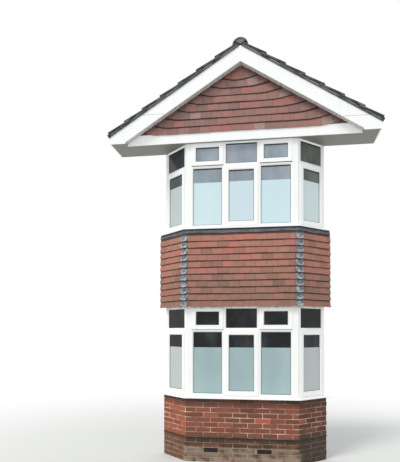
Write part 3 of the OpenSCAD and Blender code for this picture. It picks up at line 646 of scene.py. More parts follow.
# Painted light and shade: the film is darker downstairs and paler upstairs, lighter at the foot of the lower
# panes.
low_film = ramp(haze, (0.3, "90a7ab"), (0.5, "9ab1b5"), (0.7, "a6babe"))
low_film = mix((1 - step(axis_of(place, "Z"), 1.05, 1.70)) * 0.30, low_film, "abc6cb")
high_film = ramp(haze, (0.3, "c6e0e7"), (0.5, "cae2e9"), (0.7, "d0e5eb"))
high_film = mix(in_middle * 0.5, high_film, "cbd8e2")
color = mix(upstairs, low_film, high_film)
cheek_film = mix(on_right, "b3bebd", "d0dede")
color = mix(on_cheek * 0.9, color, mix(upstairs, "bac1bf", cheek_film))
finish(place, color, 0.22, noise(place, 500, 2), 0.0001, 0.3, Coat_Weight=0.5)

# %% [markdown]
# The hung tiles are plain clay. Most are a dull red, some a bright one, and a few have gone grey or pink.
# Each one is painted dark right under the tails of the next course, as shadow with some dirt, and the gable
# tiles are painted dark near both rakes as the shadow of the bargeboards. A fine sand on the face roughens
# it.

# %% Clay tile
clay, place = start_material("clay_tile")
height = axis_of(place, "Z")
drift = noise(place, 14, 4)
sand = noise(place, 260, 3)
sooty = step(noise(place, 30, 5), 0.50, 0.70)
worn = step(noise(place, 85, 4), 0.52, 0.68)
middle_courses = step(height, 2.78, 3.00) * (1 - step(height, 3.6, 4.2))
rake_shadow = step(aside(place) * SLOPE + height, 5.88, 6.01)
tail_shadow_and_dirt = step(kept(place, "along") + drift * 0.06, 0.78, 0.93)
color = ramp(
    kept(place, "tone") * 0.92 + drift * 0.14 - 0.04,
    (0.0, "735a50"), (0.2, "86655a"), (0.45, "997163"), (0.65, "a67566"), (0.78, "af6f60"), (0.88, "b66352"),
    (0.95, "ac958b"),
)
color = layered(
    color,
    (sooty * 0.35, "66514a"),
    (worn * 0.30, "c08f80"),
    ((1 - step(height, 2.42, 3.0)) * 0.30, "7b5f4c"),
    (middle_courses * 0.22, "cf7f6d"),
    (step(height, 4.5, 5.0) * 0.36, "8c7072"),
    # Painted shadow of the bargeboards on the gable tiles, near both rakes.
    (rake_shadow * 0.65, "33262a"),
    # Painted shadow, with some dirt, right under the tails of the next course.
    (tail_shadow_and_dirt * 0.88, "2a1c18"),
)
finish(place, color, 0.82, sand + drift * 0.5, 0.0011)

# %% [markdown]
# The lead is dull grey and paler where rain washes over it. The soakers carry a painted highlight at the
# curled foot and painted shade higher up, where they go in under the next one; the apron carries a painted
# shadow of the sill right under it.

# %% Lead
lead, place = start_material("weathered_lead_with_painted_light")
bloom = noise(place, 22, 5)
along = kept(place, "along")
color = layered(
    ramp(bloom, (0.3, "485056"), (0.5, "6c747b"), (0.62, "8f979d"), (0.75, "bac1c6")),
    # Painted highlight on the curled foot of each soaker.
    ((1 - step(along, 0.06, 0.30)) * 0.38, "d3d9dc"),
    # Painted shade higher up each soaker, where it goes in under the next one.
    (step(along, 0.58, 0.84) * 0.88, "272c31"),
)
finish(place, color, 0.62 - bloom * 0.25, bloom, 0.0014, 0.8, Metallic=0.2)

apron_lead, place = start_material("apron_lead")
bloom = noise(place, 12, 5, (1, 1, 3))
color = ramp(bloom, (0.3, "4a4f54"), (0.5, "5b6066"), (0.75, "777d84"))
# Painted shadow of the sill on the top of the apron.
color = mix(step(axis_of(place, "Z") + bloom * 0.01, 3.520, 3.545) * 0.85, color, "1f2123")
finish(place, color, 0.65, bloom, 0.0014, 0.8, Metallic=0.2)

# %% [markdown]
# Roof tiles, ridge tiles and mortar are rough and grey. Their edges at the verge are streaked along the
# slope, so that noise is drawn on the slope's own axes, one down the roof and one out of it.

# %% Roof covering
def on_slope(place):
    """How far down a slope of the roof a point lies, and how far out of it."""
    x, height = aside(place), axis_of(place, "Z")
    down = x * math.cos(PITCH) - height * math.sin(PITCH)
    return down, x * math.sin(PITCH) + height * math.cos(PITCH) - APEX * math.cos(PITCH)


def slope_streaks(place, scale):
    """Noise drawn out along the slope."""
    down, out = on_slope(place)
    spot = place.node("ShaderNodeCombineXYZ", {}, {"X": down * 0.14, "Y": axis_of(place, "Y"), "Z": out})
    return noise(spot, scale, 4)


roof_concrete, place = start_material("roof_concrete")
tone = kept(place, "tone")
lichen = step(noise(place, 26, 5), 0.6, 0.7)
color = ramp(noise(place, 10, 4) * 0.7 + tone * 0.3, (0.3, "343638"), (0.5, "47494a"), (0.7, "616263"))
color = mix(lichen * 0.45, color, "989792")
at_verge = 1 - step(axis_of(place, "Y"), -0.622, -0.612)
edge_color = ramp(slope_streaks(place, 60), (0.35, "2c2e30"), (0.5, "424446"), (0.68, "77797a"))
color = mix(at_verge, color, edge_color)
grit = noise(place, 300, 3)
finish(place, color, 0.92, grit + lichen * 0.3, 0.0018)

bedding, place = start_material("bedding_mortar")
out = on_slope(place)[1]
streaks = slope_streaks(place, 50)
color = ramp(streaks, (0.35, "3a3b3c"), (0.52, "4c4d4e"), (0.68, "716f6d"))
pale_line = step(out, 0.012, 0.017) * (1 - step(out, 0.026, 0.032)) * step(streaks, 0.36, 0.56)
color = mix(pale_line * 0.8, color, "a3a19d")
finish(place, color, 0.94, noise(place, 200, 4), 0.003)

# %% [markdown]
# Behind the outer skin are timber, blocks and plaster, seen from the open back. Timber has its grain along
# its length, so it is made three times, for pieces that lie along x, y and z.

# %% Timber, blocks and plaster
def timber_finish(name, stretch):
    material, spot = start_material(name)
    rings = noise(spot, 30, 5, stretch)
    fibre = noise(spot, 140, 3, stretch)
    shades = ramp(rings * 0.8 + fibre * 0.2, (0.3, "8a6440"), (0.5, "b58a5c"), (0.7, "cfa878"))
    finish(spot, shades, 0.75, fibre, 0.0009)
    return material


timber_x = timber_finish("timber_across", (0.06, 1, 1))
timber_y = timber_finish("timber_outwards", (1, 0.06, 1))
timber_z = timber_finish("timber_upright", (1, 1, 0.06))

block, place = start_material("grey_block")
height = axis_of(place, "Z")
bed = place.maths("PINGPONG", height + 0.075, 0.1125)
joint = 1 - step(bed, 0.004, 0.008)
color = ramp(noise(place, 70, 4), (0.35, "7d7c78"), (0.6, "9a9893"), (0.8, "b1aea7"))
color = mix(joint, color, "c2bdb2")
finish(place, color, 0.92, noise(place, 180, 4) - joint * 0.6, 0.002)

plaster, place = start_material("smooth_plaster")
trowel = noise(place, 7, 4)
color = ramp(trowel, (0.3, "dcd8cc"), (0.7, "e8e5dc"))
finish(place, color, 0.8, trowel + noise(place, 90, 2) * 0.1, 0.001)

# %% [markdown]
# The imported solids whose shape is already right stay, and only get their finish. Their meshes are never
# touched: a new material in the slot is enough.

# %% Finishes for the solids that stay
KEPT = {
    white_plastic: (
        "lower_sill", "upper_sill", "corner_posts", "front_sashes", "side_casements",
        *(f"{level}_{face}_frame" for level in ("lower", "upper") for face in FACES),
    ),
    roof_boards: ("gable_fascia", "eaves_fascias", "left_bargeboard", "right_bargeboard"),
    painted_board: ("window_boards",),
    pale_soffit: ("soffit",),
    verge_board: ("verge_soffit",),
    glass: ("window_glass",),
    film: ("privacy_film",),
    vent_clay: ("air_bricks",),
    damp_felt: ("damp_course",),
    block: ("inner_leaf",),
    plaster: ("wall_plaster", "ceilings"),
    timber_x: ("upper_beam", "rafters"),
    timber_y: ("ground_floor", "first_floor", "ridge_board", "roof_battens"),
    timber_z: ("spandrel_frame", "gable_panel"),
    bedding: ("verge_bedding",),
    ridge_concrete: ("ridge_tiles",),
}
for material, names in KEPT.items():
    for name in names:
        nodes[name].data.materials.clear()
        nodes[name].data.materials.append(material)
print("solids that stay:", sum(len(names) for names in KEPT.values()))

# %% [markdown]
# A part that follows all three faces, such as the mortar body or the apron, starts as a straight box whose
# length counts the faces, from 0 to 3. It is cut across its length, and its points are carried onto the
# plan's outline, which mitres both corners.

# %% Boxes that follow the plan
WALL_CLEAR = 0.003


def bend_round(name, cuts, clear, shape):
    """Box bent round the plan, clear of the house wall; a shape gives each point's depth and height."""
    box = add_box(name, (0, 0, 0), (3, 1, 1))
    for axis, number in cuts.items():
        cut_along(box, axis, number)
    for point in box.data.vertices:
        depth, z = shape(*point.co)
        flat = outline_point(point.co.x, depth)
        point.co = (flat.x, min(flat.y, -clear), z)
    return box


def canted_box(name, depth_out, depth_in, low, high):
    """Box bent round the plan, between two depths and two heights."""
    def shape(t, d, h):
        return depth_out + d * (depth_in - depth_out), low + h * (high - low)
    return bend_round(name, {0: 2}, WALL_CLEAR, shape)

# %% [markdown]
# The brickwork is in stretcher bond: 215 mm bricks in courses of 75 mm with 10 mm of mortar. One brick
# with worn arrises is modelled and laid again and again. A body of mortar stands 4 mm behind their faces,
# which makes the raked joints. Two air bricks sit in the third course, so the bricks stop beside them, and
# a boolean opens the mortar there.

# %% Bricks
COURSE = 0.075
BRICK_COURSES = 13
VENT_COURSE = 2
UNDER_DAMP = 4
JOINT = 0.010
BRICK = Vector((0.215, 0.1025, 0.065))
WORN = 0.003
DAMP_TOP = 0.375
DAMP_BOTTOM = 0.363
SILL_SEAT = 0.975
VENTS = (-0.467, 0.346)
VENT_W = 0.215
VENT_PLAY = 0.006
VENT_GAPS = [(x - VENT_W / 2 - VENT_PLAY, x + VENT_W / 2 + VENT_PLAY) for x in VENTS]
SHORTEST = 0.065
OFFSETS = (0.06, 0.17)
# Painted light and shade: each face's tone is shifted, lighter and more orange on the left cheek, darker on
# the right.
FACE_LIGHT_SHIFT = {"left": 0.30, "front": 0.0, "right": -0.36}

brick_pattern = add_box("brick_pattern", (0, 0, 0), BRICK)
bevel_edges(brick_pattern, lambda a, b: True, WORN)


def brick_runs(low, high, offset, gaps):
    """Starts and ends of the bricks in one course."""
    runs = []
    start = low - offset
    while start < high - JOINT:
        a, b = max(start, low), min(start + BRICK.x, high)
        for gap_low, gap_high in gaps:
            if a < gap_low < b:
                b = gap_low
            elif a < gap_high < b:
                a = gap_high
            elif gap_low <= a and b <= gap_high:
                b = a
        if b - a > SHORTEST:
            runs.append([a if runs else low, b])
        elif b == high and runs:
            runs[-1][1] = high
        start += BRICK.x + JOINT
    return runs


def lay_bricks(face):
    low, high = face_ends(face, 0)
    bricks = []
    for course in range(BRICK_COURSES):
        z = course * COURSE + (JOINT if course > UNDER_DAMP else 0)
        tall = DAMP_BOTTOM - z if course == UNDER_DAMP else BRICK.z
        gaps = VENT_GAPS if face == "front" and course == VENT_COURSE else ()
        for a, b in brick_runs(low, high, OFFSETS[course % 2], gaps):
            back = random.uniform(0, 0.0015)
            tone = min(max(random.gauss(0.43, 0.22) + FACE_LIGHT_SHIFT[face], 0), 1)

            def shape(p):
                ends = face_ends(face, p.y + back)
                x = min(max(a + p.x * (b - a) / BRICK.x, ends[0] + MITRE_GAP), ends[1] - MITRE_GAP)
                return (x, p.y + back, z + p.z * tall / BRICK.z)
            bricks.append(lay(brick_pattern, shape, tone, FACES[face]))
    return bricks


for face in FACES:
    replaced = ("outer_leaf",) if face == "front" else ()
    make_piece(face + "_bricks", lay_bricks(face), "brick", brick, *replaced)
discard(brick_pattern)

# %% Mortar and the backing of the plinth
RAKED = 0.004
BASE_BACK = 0.255
LEAF_BACK = 0.1005
OFF_GROUND = 0.002
VENT_FOOT = VENT_COURSE * COURSE

base_mortar = canted_box("base_mortar", RAKED, BASE_BACK, OFF_GROUND, DAMP_BOTTOM)
for x in VENTS:
    low = (x - VENT_W / 2, -0.5, VENT_FOOT)
    hole = add_box("vent_hole", low, (x + VENT_W / 2, -0.1, VENT_FOOT + BRICK.z))
    apply_modifier(base_mortar, "BOOLEAN", object=hole, operation="DIFFERENCE", solver="EXACT")
    discard(hole)
finish_piece(base_mortar, "mortar", mortar, "plinth")

wall_mortar = canted_box("wall_mortar", RAKED, LEAF_BACK, DAMP_TOP + 0.0005, SILL_SEAT - 0.001)
finish_piece(wall_mortar, "mortar", mortar)

# %% [markdown]
# A hung tile is 163 mm wide and 265 mm long, and only its lowest 100 mm shows. It leans back from tail to
# head, so every tail throws a thin shadow on the course below. The joints are half a tile out from course
# to course and never quite in line, because each batten waves a little and each tile hangs a bit off. The
# end ones are cut with bisect at the mitre.

# %% Hung tiles between the windows
TILE = Vector((0.163, 0.0115, 0.265))
CAMBER = 0.0012
TILE_PITCH = 0.165
GAUGE = 0.100
TILE_FACE = -0.048
LOWEST_TAIL = 2.370
TILE_FOOT = 2.400
TILE_TOP = 3.556
TILE_COURSES = 11
TILE_STARTS = (0.05, 0.13)
BATTEN_WAVE = 0.0028
HANGS_OFF = 0.002
KICKS_OUT = 0.0015
NAIL_PLAY = 0.006
SLIVER = 0.004
FULL_TURN = 6.28
BRIGHT_FROM = 8
BRIGHT_RUN = (-0.6, 0.1)

tile_pattern = add_box("tile_pattern", (0, 0, 0), TILE)
cut_along(tile_pattern, 2, 2)
cut_along(tile_pattern, 0, 1)


def tile_arris(a, b):
    """The tail's edge and the two long edges of the face."""
    at_side = min(a.x, b.x) > TILE.x - 0.001 or max(a.x, b.x) < 0.001
    return max(a.y, b.y) < 0.001 and (max(a.z, b.z) < 0.001 or at_side)


bevel_edges(tile_pattern, tile_arris, 0.0018)
for point in tile_pattern.data.vertices:
    along = point.co.z / TILE.z
    point.co.y -= CAMBER * (1 - (2 * along - 1) ** 2)


def tile_tone(bright, pale=0.0):
    """Most tiles are middling, some are bright or dark, and a few have gone pale."""
    kind = random.random()
    if kind < pale:
        return 1.0
    if kind < pale + bright:
        return random.uniform(0.80, 0.90)
    if kind < pale + bright + 0.24:
        return random.uniform(0.10, 0.36)
    return random.uniform(0.40, 0.76)


def on_gauge(point):
    return point.z / GAUGE


def hang_tiles(face):
    low, high = face_ends(face, TILE_FACE)
    planes = end_planes(face)
    tiles = []
    for course in range(-2, TILE_COURSES):
        tail = LOWEST_TAIL + course * GAUGE
        phase = random.uniform(0, FULL_TURN)
        x = low - TILE_STARTS[course % 2] - random.uniform(0, 0.01)
        while x < high - SLIVER:
            drop = random.uniform(-HANGS_OFF, HANGS_OFF) + BATTEN_WAVE * math.sin(4.5 * x + phase)
            tilt = random.uniform(-NAIL_PLAY, NAIL_PLAY)
            kick = random.uniform(0, KICKS_OUT)

            def shape(p):
                z = tail + p.z + drop + tilt * (p.x - TILE.x / 2)
                at_head = p.z > 0.2
                z = min(max(z, TILE_FOOT), TILE_TOP) if course < 0 or at_head else z
                y = TILE_FACE + (z - tail) * TILE.y / GAUGE + p.y - kick * (1 - p.z / TILE.z)
                return (x + p.x, y, z)
            if x + TILE.x > low + SLIVER:
                in_run = BRIGHT_RUN[0] < x < BRIGHT_RUN[1]
                bright = face == "front" and course >= BRIGHT_FROM and in_run
                tone = tile_tone(0.5 if bright else 0.05)
                tile = lay(tile_pattern, shape, tone, exposed=on_gauge)
                if cut_off(tile, planes):
                    tile.data.transform(FACES[face])
                    tiles.append(tile)
            x += TILE_PITCH
    return tiles


for face in FACES:
    make_piece(face + "_tiles", hang_tiles(face), "clay_tile", clay, face + "_hung_tiles")

# %% [markdown]
# Where two tiled faces meet, a lead soaker is folded round the corner in each course. Its foot is rounded,
# and years of wind have curled it away from the tiles. It starts as a grid, whose points go to the two
# faces by how far they lie from the fold and up the sheet, and Solidify gives it the thickness of lead.

# %% Lead soakers
FRONT_WING = 0.062
CHEEK_WING = 0.069
SOAKER_RISE = 0.112
LEAD = 0.003
FOOT_ROUND = 0.034
FLAT_PART = 0.45
CURL = (0.011, 0.019)
CURL_RISE = 0.55


def corner_point(side, across, depth):
    """A point beside the corner: across is the distance from the fold, less than 0 on the front."""
    if across < 0:
        return Vector((side * (face_ends("front", depth)[1] + across), depth - PROJECTION, 0))
    place = FACES["right"] @ Vector((face_ends("right", depth)[0] + across, depth, 0))
    return Vector((side * place.x, place.y, 0))


def add_soaker(side, tail):
    sheet = add(bpy.ops.mesh.primitive_grid_add, "soaker", x_subdivisions=12, y_subdivisions=6, size=2)
    curl = random.uniform(*CURL)
    wave = random.uniform(0, FULL_TURN)
    wider = random.uniform(0.95, 1.06)
    keep(sheet, "along", lambda spot: (spot.y + 1) / 2)
    for point in sheet.data.vertices:
        a, b = point.co.x, (point.co.y + 1) / 2
        corner = max((abs(a) - FLAT_PART) / (1 - FLAT_PART), 0)
        foot = FOOT_ROUND * corner ** 1.6 + 0.004 * math.sin(4 * a + wave)
        z = foot + b * (SOAKER_RISE - foot)
        lift = curl * max(1 - b / CURL_RISE, 0) ** 2 * (0.55 + 0.45 * abs(a))
        lift += (0.003 * abs(a) ** 3 + 0.0015 * math.sin(9 * a + wave)) * (1 - b)
        depth = TILE_FACE - 0.0035 + z * TILE.y / GAUGE - max(lift, 0)
        flat = corner_point(side, a * wider * (FRONT_WING if a < 0 else CHEEK_WING), depth)
        point.co = (flat.x, flat.y, tail + z)
    apply_modifier(sheet, "SOLIDIFY", thickness=LEAD * 0.7, offset=0)
    return sheet


for word, side in SIDES.items():
    sheets = [add_soaker(side, LOWEST_TAIL + i * GAUGE) for i in range(TILE_COURSES)]
    replaced = ("corner_soakers",) if side < 0 else ()
    select_only(make_piece(word + "_soakers", sheets, "lead", lead, *replaced))
    bpy.ops.object.shade_smooth_by_angle(angle=math.radians(40))

# %% [markdown]
# The apron is a strip of lead that hangs from under the upper sill and lies on the top course. It is
# dressed down by hand, so its lower edge wanders and bulges a little.

# %% Lead apron
APRON_FOOT = 3.488
APRON_TOP = 3.5597
FOOT_DEPTH = -0.0405
TOP_DEPTH = -0.0320
APRON_CLEAR = 0.001
WANDER = ((0.004, 7.3, 0), (0.003, 17.1, 1), (0.0015, 41, 0))


def dressed(t, d, h):
    wander = sum(size * math.sin(waves * t + start) for size, waves, start in WANDER)
    bulge = (0.0025 + 0.0025 * math.sin(11 * t + 2)) * (1 - h) ** 2
    depth = FOOT_DEPTH + h * (TOP_DEPTH - FOOT_DEPTH) + d * LEAD
    return depth - bulge, APRON_FOOT + wander * (1 - h) + h * (APRON_TOP - APRON_FOOT)


apron = bend_round("lead_apron", {0: 95, 2: 3}, APRON_CLEAR, dressed)
turn_outwards(apron)
finish_piece(apron, "lead", apron_lead, "sill_apron")

# %% [markdown]
# The gable has the same tiles at a gauge of 110 mm. Near both rakes its courses sweep up to meet the
# slope. Here the points near a rake are lifted, the more the nearer they are, and each tile is then cut
# off at the line of the soffit.

# %% Gable tiles
BOARD_DEEP = 0.198
UNDER_APEX = APEX - BOARD_DEEP / math.cos(PITCH) - 0.0006
GABLE_GAUGE = 0.110
GABLE_TAIL = 5.018
GABLE_FACE = -0.493
GABLE_FOOT = 5.034
GABLE_BACK = -0.4537
GABLE_COURSES = 8
GABLE_STARTS = (0.03, 0.11)
SWEEP = {"left": 0.28, "right": 0.42}
SWEEP_RISE = {"left": 0.085, "right": 0.098}


def rake_x(z):
    """Half width of the tiled gable at a height."""
    return max((UNDER_APEX - z) / SLOPE, 0.0)


def swept(tail, x):
    """How far the sweep raises the tail of a course at a place."""
    side = "left" if x < 0 else "right"
    return SWEEP_RISE[side] * min(max(1 - (rake_x(tail) - abs(x)) / SWEEP[side], 0), 1.2) ** 1.5


tiles = []
last = GABLE_COURSES - 1
rakes = [(Vector((0, 0, UNDER_APEX)), Vector((side * SLOPE, 0, 1))) for side in SIDES.values()]
for course in range(-2, GABLE_COURSES):
    tail = GABLE_TAIL + course * GABLE_GAUGE
    lifts = 1 if course >= 0 else 0
    phase = random.uniform(0, FULL_TURN)
    x = -rake_x(tail) - GABLE_STARTS[course % 2]
    while x < rake_x(tail):
        drop = random.uniform(-HANGS_OFF, HANGS_OFF) + lifts * BATTEN_WAVE * math.sin(3.5 * x + phase)
        kick = random.uniform(0, KICKS_OUT)

        def shape(p):
            z = tail + p.z + drop
            if course < 0:
                z = max(z, GABLE_FOOT)
            z += lifts * swept(tail, x + p.x)
            y = GABLE_FACE + (z - tail) * TILE.y / GABLE_GAUGE + p.y - kick * (1 - p.z / TILE.z)
            return (x + p.x, min(y, GABLE_BACK + p.y * 0.1), z)

        def on_sweep(p):
            if course == last:
                return p.z / TILE.z
            return p.z / (GABLE_GAUGE + swept(tail + GABLE_GAUGE, x + p.x) - lifts * swept(tail, x + p.x))
        tone = tile_tone(0.15, 0.0 if course == last else 0.07)
        tile = lay(tile_pattern, shape, tone, exposed=on_sweep)
        if cut_off(tile, rakes):
            tiles.append(tile)
        x += TILE_PITCH
make_piece("gable_hung_tiles", tiles, "clay_tile", clay, "gable_tiles")
discard(tile_pattern)

# %% [markdown]
# The roof is covered with interlocking concrete tiles, 406 mm long at a gauge of 331 mm, with two low
# rolls each. From the street only their thick edges show over the bargeboards. Each one starts as a box,
# is cut into strips, and the top of the strips is raised into the rolls.

# %% Roof tiles
ROOF_TILE = Vector((0.406, 0.3105, 0.0237))
ROOF_GAUGE = 0.331
ROOF_COURSES = 7
ROOF_HALF = 2.032
SLOPE_LENGTH = ROOF_HALF / math.cos(PITCH)
VERGE = 0.624
BATTEN_TOP = 0.0226
ROLL_RISE = 0.015
ROLL_HALF = 0.040
ROLLS = (0.085, 0.235)
EAVES_CUT = 0.028
RIDGE_CUT = 0.026
SIDE_PLAY = 0.0008

roof_pattern = add_box("roof_pattern", (0, 0, 0), ROOF_TILE)
cut_along(roof_pattern, 1, 15)
for point in roof_pattern.data.vertices:
    if point.co.z > 0.01:
        rolls = [1 - ((point.co.y - c) / ROLL_HALF) ** 2 for c in ROLLS]
        point.co.z += ROLL_RISE * max(max(rolls), 0)
bevel_edges(roof_pattern, lambda a, b: min(a.x, b.x) > 0.4 and min(a.z, b.z) > 0.02, 0.004)


def slope_matrix(side):
    """Axes down the slope, along the wall and out of the roof, from the apex."""
    turn = Matrix.Rotation(math.pi if side < 0 else 0, 4, "Z")
    return Matrix.Translation((0, 0, APEX)) @ turn @ Matrix.Rotation(PITCH, 4, "Y")


for word, side in SIDES.items():
    tiles = []
    for course in range(ROOF_COURSES):
        tail = SLOPE_LENGTH - course * ROOF_GAUGE
        for column in range(2):
            slip = random.uniform(-0.003, 0.002)
            first = 0 if side < 0 else -VERGE
            start = first + column * VERGE / 2 + SIDE_PLAY

            def shape(p):
                kept_length = 1 - (EAVES_CUT / ROOF_TILE.x if course == 0 else 0)
                s = max(tail - ROOF_TILE.x + p.x * kept_length + slip, RIDGE_CUT)
                under = BATTEN_TOP + (ROOF_TILE.x - (tail - s)) * ROOF_TILE.z / ROOF_GAUGE
                return (s, start + p.y, under + p.z)
            tiles.append(lay(roof_pattern, shape, random.random(), slope_matrix(side)))
    make_piece(word + "_slope_tiles", tiles, "roof_tile", roof_concrete, word + "_roof_tiles")
discard(roof_pattern)

# %% [markdown]
# At the eaves a black comb keeps birds out of the gap between the board and the lowest tiles. It starts as
# a low bar that is cut along its length. Of every three pieces two have their top face extruded up to the
# tiles: these are the teeth.

# %% Eaves combs
COMB_DOWN = 2.3615
COMB_THICK = 0.004
COMB_LOW = 0.0006
COMB_STRIP = 0.012
COMB_HIGH = 0.0484
COMB_RUN = (0.003, 0.5745)
COMB_CUTS = 131


def add_comb(side):
    """One comb, drawn in the slope's own axes."""
    start, end = sorted(-side * y for y in COMB_RUN)
    comb = add_box("comb", (COMB_DOWN, start, COMB_LOW), (COMB_DOWN + COMB_THICK, end, COMB_STRIP))
    cut_along(comb, 1, COMB_CUTS)
    width = (end - start) / (COMB_CUTS + 1)

    def is_tooth(face):
        return face.normal.z > 0.9 and int((face.center.y - start) / width) % 3 > 0
    select_parts(comb, "FACE", is_tooth)
    tall = COMB_HIGH - COMB_STRIP
    bpy.ops.mesh.extrude_region_move(TRANSFORM_OT_translate={"value": (0, 0, tall)})
    leave_edit()
    comb.data.transform(slope_matrix(side))
    return comb


make_piece("eaves_combs", [add_comb(side) for side in SIDES.values()], "damp_proofing", rubber)

# %% [markdown]
# Under the ridge tiles is a bed of mortar. At the verge it fills their open end and stands a little back
# from it, rough and grey. It starts as a cylinder, and bisect cuts off what would lie in the roof tiles,
# once for each slope.

# %% Ridge mortar
RIDGE_RADIUS = 0.1035
RIDGE_THICK = 0.0145
FILLING_FOOT = 0.012
FILLING_FRONT = 0.012 - VERGE
FILLING_BACK = -0.002

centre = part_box("ridge_tiles")[1].z - RIDGE_THICK - RIDGE_RADIUS
filling = add(
    bpy.ops.mesh.primitive_cylinder_add, "ridge_filling", vertices=40, radius=RIDGE_RADIUS,
    depth=FILLING_BACK - FILLING_FRONT, location=(0, (FILLING_FRONT + FILLING_BACK) / 2, centre),
    rotation=UPRIGHT,
)
leans = [slope_matrix(side).col[2].xyz for side in SIDES.values()]
cut_off(filling, [(Vector((0, 0, APEX)) + lean * FILLING_FOOT, -lean) for lean in leans])
turn_outwards(filling)
finish_piece(filling, "mortar", ridge_mortar)

# %% [markdown]
# Every pane sits in a black rubber seal, seen as a thin dark line round the glass. Along the top the seal
# is widened downwards into a band of painted shadow, as the head casts, wider upstairs than down. One seal
# is a plane whose face is inset and whose middle is deleted, made solid. The places of the panes are worked
# out from the widths of the frames, as in the part's source.

# %% Window seals
SETBACK = 0.026
FRAME_FACE = 0.058
SASH_FACE = 0.045
SASH_REBATE = 0.0062
FRAME_REBATE = 0.0210
SEAL = 0.0055
SEAL_THICK = 0.004
TOP_SHADOW_BAND = {"low": 0.004, "high": 0.013}
FRONT_POST = 0.0453
CHEEK_POST = 0.0143
FRONT_X = face_ends("front", SETBACK)[1] - FRONT_POST - FRAME_FACE
CHEEK_X = face_ends("right", SETBACK)
ROWS = {"low": (1.039, 1.982), "low_top": (2.044, 2.340), "high": (3.624, 4.498), "high_top": (4.560, 4.862)}
FRONT_COLUMNS = ((-FRONT_X, -0.297), (-0.235, 0.235), (0.297, FRONT_X))
CHEEK_COLUMN = (CHEEK_X[0] + CHEEK_POST + FRAME_FACE, CHEEK_X[1] - FRAME_FACE)


def storey(z):
    return "low" if z < 3 else "high"


def panes():
    """Each pane's face, its seen edges, and the sash that holds it, if any."""
    for row, (z0, z1) in ROWS.items():
        top = row.endswith("top")
        for index, (x0, x1) in enumerate(FRONT_COLUMNS):
            opens = (index != 1) == top
            yield "front", x0, z0, x1, z1, ("fanlight" if top else "casement") if opens else None
        x0, x1 = CHEEK_COLUMN
        yield "right", x0, z0, x1, z1, None if top else "casement"
        yield "left", -x1, z0, -x0, z1, None if top else "casement"


def add_seal_and_shadow(face, x0, z0, x1, z1, sash):
    if sash:
        x0, z0, x1, z1 = x0 + SASH_FACE, z0 + SASH_FACE, x1 - SASH_FACE, z1 - SASH_FACE
    y = SETBACK + (SASH_REBATE if sash else FRAME_REBATE)
    seal = add(bpy.ops.mesh.primitive_plane_add, "seal", size=1, rotation=UPRIGHT)
    for point in seal.data.vertices:
        point.co = (x0 if point.co.x < 0 else x1, y, z0 if point.co.z < 0 else z1)
    edit_all(seal)
    bpy.ops.mesh.inset(thickness=SEAL)
    bpy.ops.mesh.delete(type="FACE")
    leave_edit()
    # Painted shadow: the top of the seal is widened downwards into a dark band.
    for point in seal.data.vertices:
        if abs(point.co.z - (z1 - SEAL)) < 0.0005:
            point.co.z -= TOP_SHADOW_BAND[storey(z1)]
    apply_modifier(seal, "SOLIDIFY", thickness=SEAL_THICK, offset=0)
    seal.data.transform(FACES[face])
    return seal


make_piece("window_seals_and_shadows", [add_seal_and_shadow(*pane) for pane in panes()], "damp_proofing", rubber)

# %% [markdown]
# Under the foot of each top-hung light a dark rubber strip is laid as the painted shadow of the gap between
# sash and frame. Each strip is a box as long as the sash, its outer edge rounded off, that rests on the
# face of the frame.

# %% Painted shadow strips under the top-hung lights
SASH_LAP = 0.020
SHADOW_STRIP_TALL = {"low": 0.004, "high": 0.008}

strips = []
# Painted shadow: a dark strip under the foot of each top-hung light.
for face, x0, z0, x1, z1, sash in panes():
    if sash == "fanlight":
        top = z0 - SASH_LAP - 0.0003
        low = (x0 - SASH_LAP, SETBACK - 0.006, top - SHADOW_STRIP_TALL[storey(z1)])
        strip = add_box("strip", low, (x1 + SASH_LAP, SETBACK - 0.0003, top))
        bevel_edges(strip, lambda a, b: max(a.y, b.y) < SETBACK - 0.005, 0.002, 2)
        strip.data.transform(FACES[face])
        strips.append(strip)
make_piece("sash_gap_shadows", strips, "damp_proofing", rubber)

# %% [markdown]
# Inside, each opening sash has a lever handle on a small rose: at the foot of a top-hung light and at the
# free side of a casement. The rose is a box with rounded corners. The lever is a second box whose free end
# is narrowed and bent towards the room.

# %% Window handles
SASH_BACK = SETBACK + 0.058
GRIP = 0.105


def add_handle(face, x, z, turn):
    rose = add_box("rose", (-0.014, 0, -0.036), (0.014, 0.011, 0.036))
    bevel_edges(rose, lambda a, b: abs(a.x - b.x) < 0.001 and a.y > 0.01 and b.y > 0.01, 0.004, 3)
    neck = add_box("neck", (-0.009, 0.010, -0.009), (0.009, 0.034, 0.009))
    bevel_edges(neck, lambda a, b: abs((b - a).normalized().y) > 0.99, 0.004, 3)
    lever = add_box("lever", (-0.010, 0.030, -GRIP), (0.010, 0.044, 0.014))
    cut_along(lever, 2, 4)
    for point in lever.data.vertices:
        away = max(-point.co.z, 0) / GRIP
        point.co.x *= 1 - 0.35 * away
        point.co.y += 0.010 * away ** 2
    bevel_edges(lever, lambda a, b: abs(a.x - b.x) < 0.004 and abs(a.y - b.y) < 0.008, 0.004, 2)
    handle = join("handle", [rose, neck, lever])
    place = Matrix.Translation((x, SASH_BACK, z)) @ Matrix.Rotation(turn, 4, "Y")
    handle.data.transform(FACES[face] @ place)
    return handle


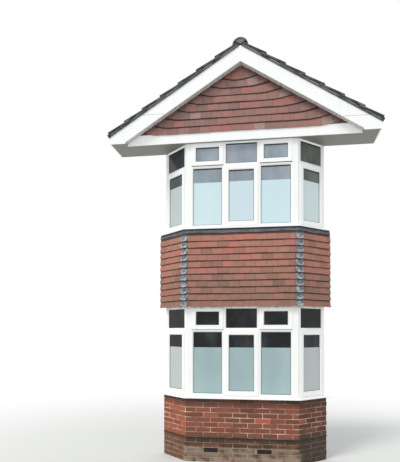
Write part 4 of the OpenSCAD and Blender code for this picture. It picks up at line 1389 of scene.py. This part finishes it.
handles = []
for face, x0, z0, x1, z1, sash in panes():
    if sash == "fanlight":
        handles.append(add_handle(face, (x0 + x1) / 2, z0 + SASH_FACE / 2, math.radians(90)))
    elif sash == "casement":
        side_x = x0 + SASH_FACE / 2 if face == "right" else x1 - SASH_FACE / 2
        handles.append(add_handle(face, side_x, (z0 + z1) / 2, 0))
make_piece("window_handles", handles, "white_plastic", white_plastic)

# %% [markdown]
# The bargeboards are made of two lengths each, and the joint between them is covered with a narrow strip.
# On the left it is higher up than on the right.

# %% Joints in the bargeboards
BARGE_FACE = -0.594
JOINTS = {"left": 5.300, "right": 5.090}
COVER_HALF = 0.003
COVER_SHORT = 0.004

strips = []
for word, z in JOINTS.items():
    outer = (APEX - z) / SLOPE - COVER_SHORT
    inner = (UNDER_APEX - z) / SLOPE + COVER_SHORT
    start, end = sorted((SIDES[word] * inner, SIDES[word] * outer))
    low = (start, BARGE_FACE - 0.0015, z - COVER_HALF)
    strip = add_box("strip", low, (end, BARGE_FACE + 0.004, z + COVER_HALF))
    bevel_edges(strip, lambda a, b: max(a.y, b.y) < BARGE_FACE, 0.0008)
    strips.append(strip)
make_piece("board_joints", strips, "pale_soffit", verge_board)

# %% [markdown]
# The floor is plain and pale, and is no part of the bay. Far from the bay it turns into the same white as
# the world, so that no edge shows behind the object from any side.

# %% Floor
FLOOR_RADIUS = 60
FLOOR_TOP = -0.0008
FADE = (2.0, 9.0)

floor = add(
    bpy.ops.mesh.primitive_circle_add, "floor", vertices=96, radius=FLOOR_RADIUS, fill_type="NGON",
    location=(0, 0, FLOOR_TOP),
)
floor_material, place = start_material("pale_floor")
distance = place.node("ShaderNodeVectorMath", {"operation": "LENGTH"}, {0: place}, "Value")
ground = place.node("ShaderNodeBsdfDiffuse", {}, {"Color": hex_color("dcdcd9")})
backdrop = place.node("ShaderNodeEmission", {}, {"Color": hex_color("ffffff"), "Strength": 1.0})
far_off = sees_white(place) * step(distance, *FADE)
shown = place.node("ShaderNodeMixShader", {}, {0: far_off, 1: ground, 2: backdrop})
shown.end_in("ShaderNodeOutputMaterial")
floor.data.materials.append(floor_material)
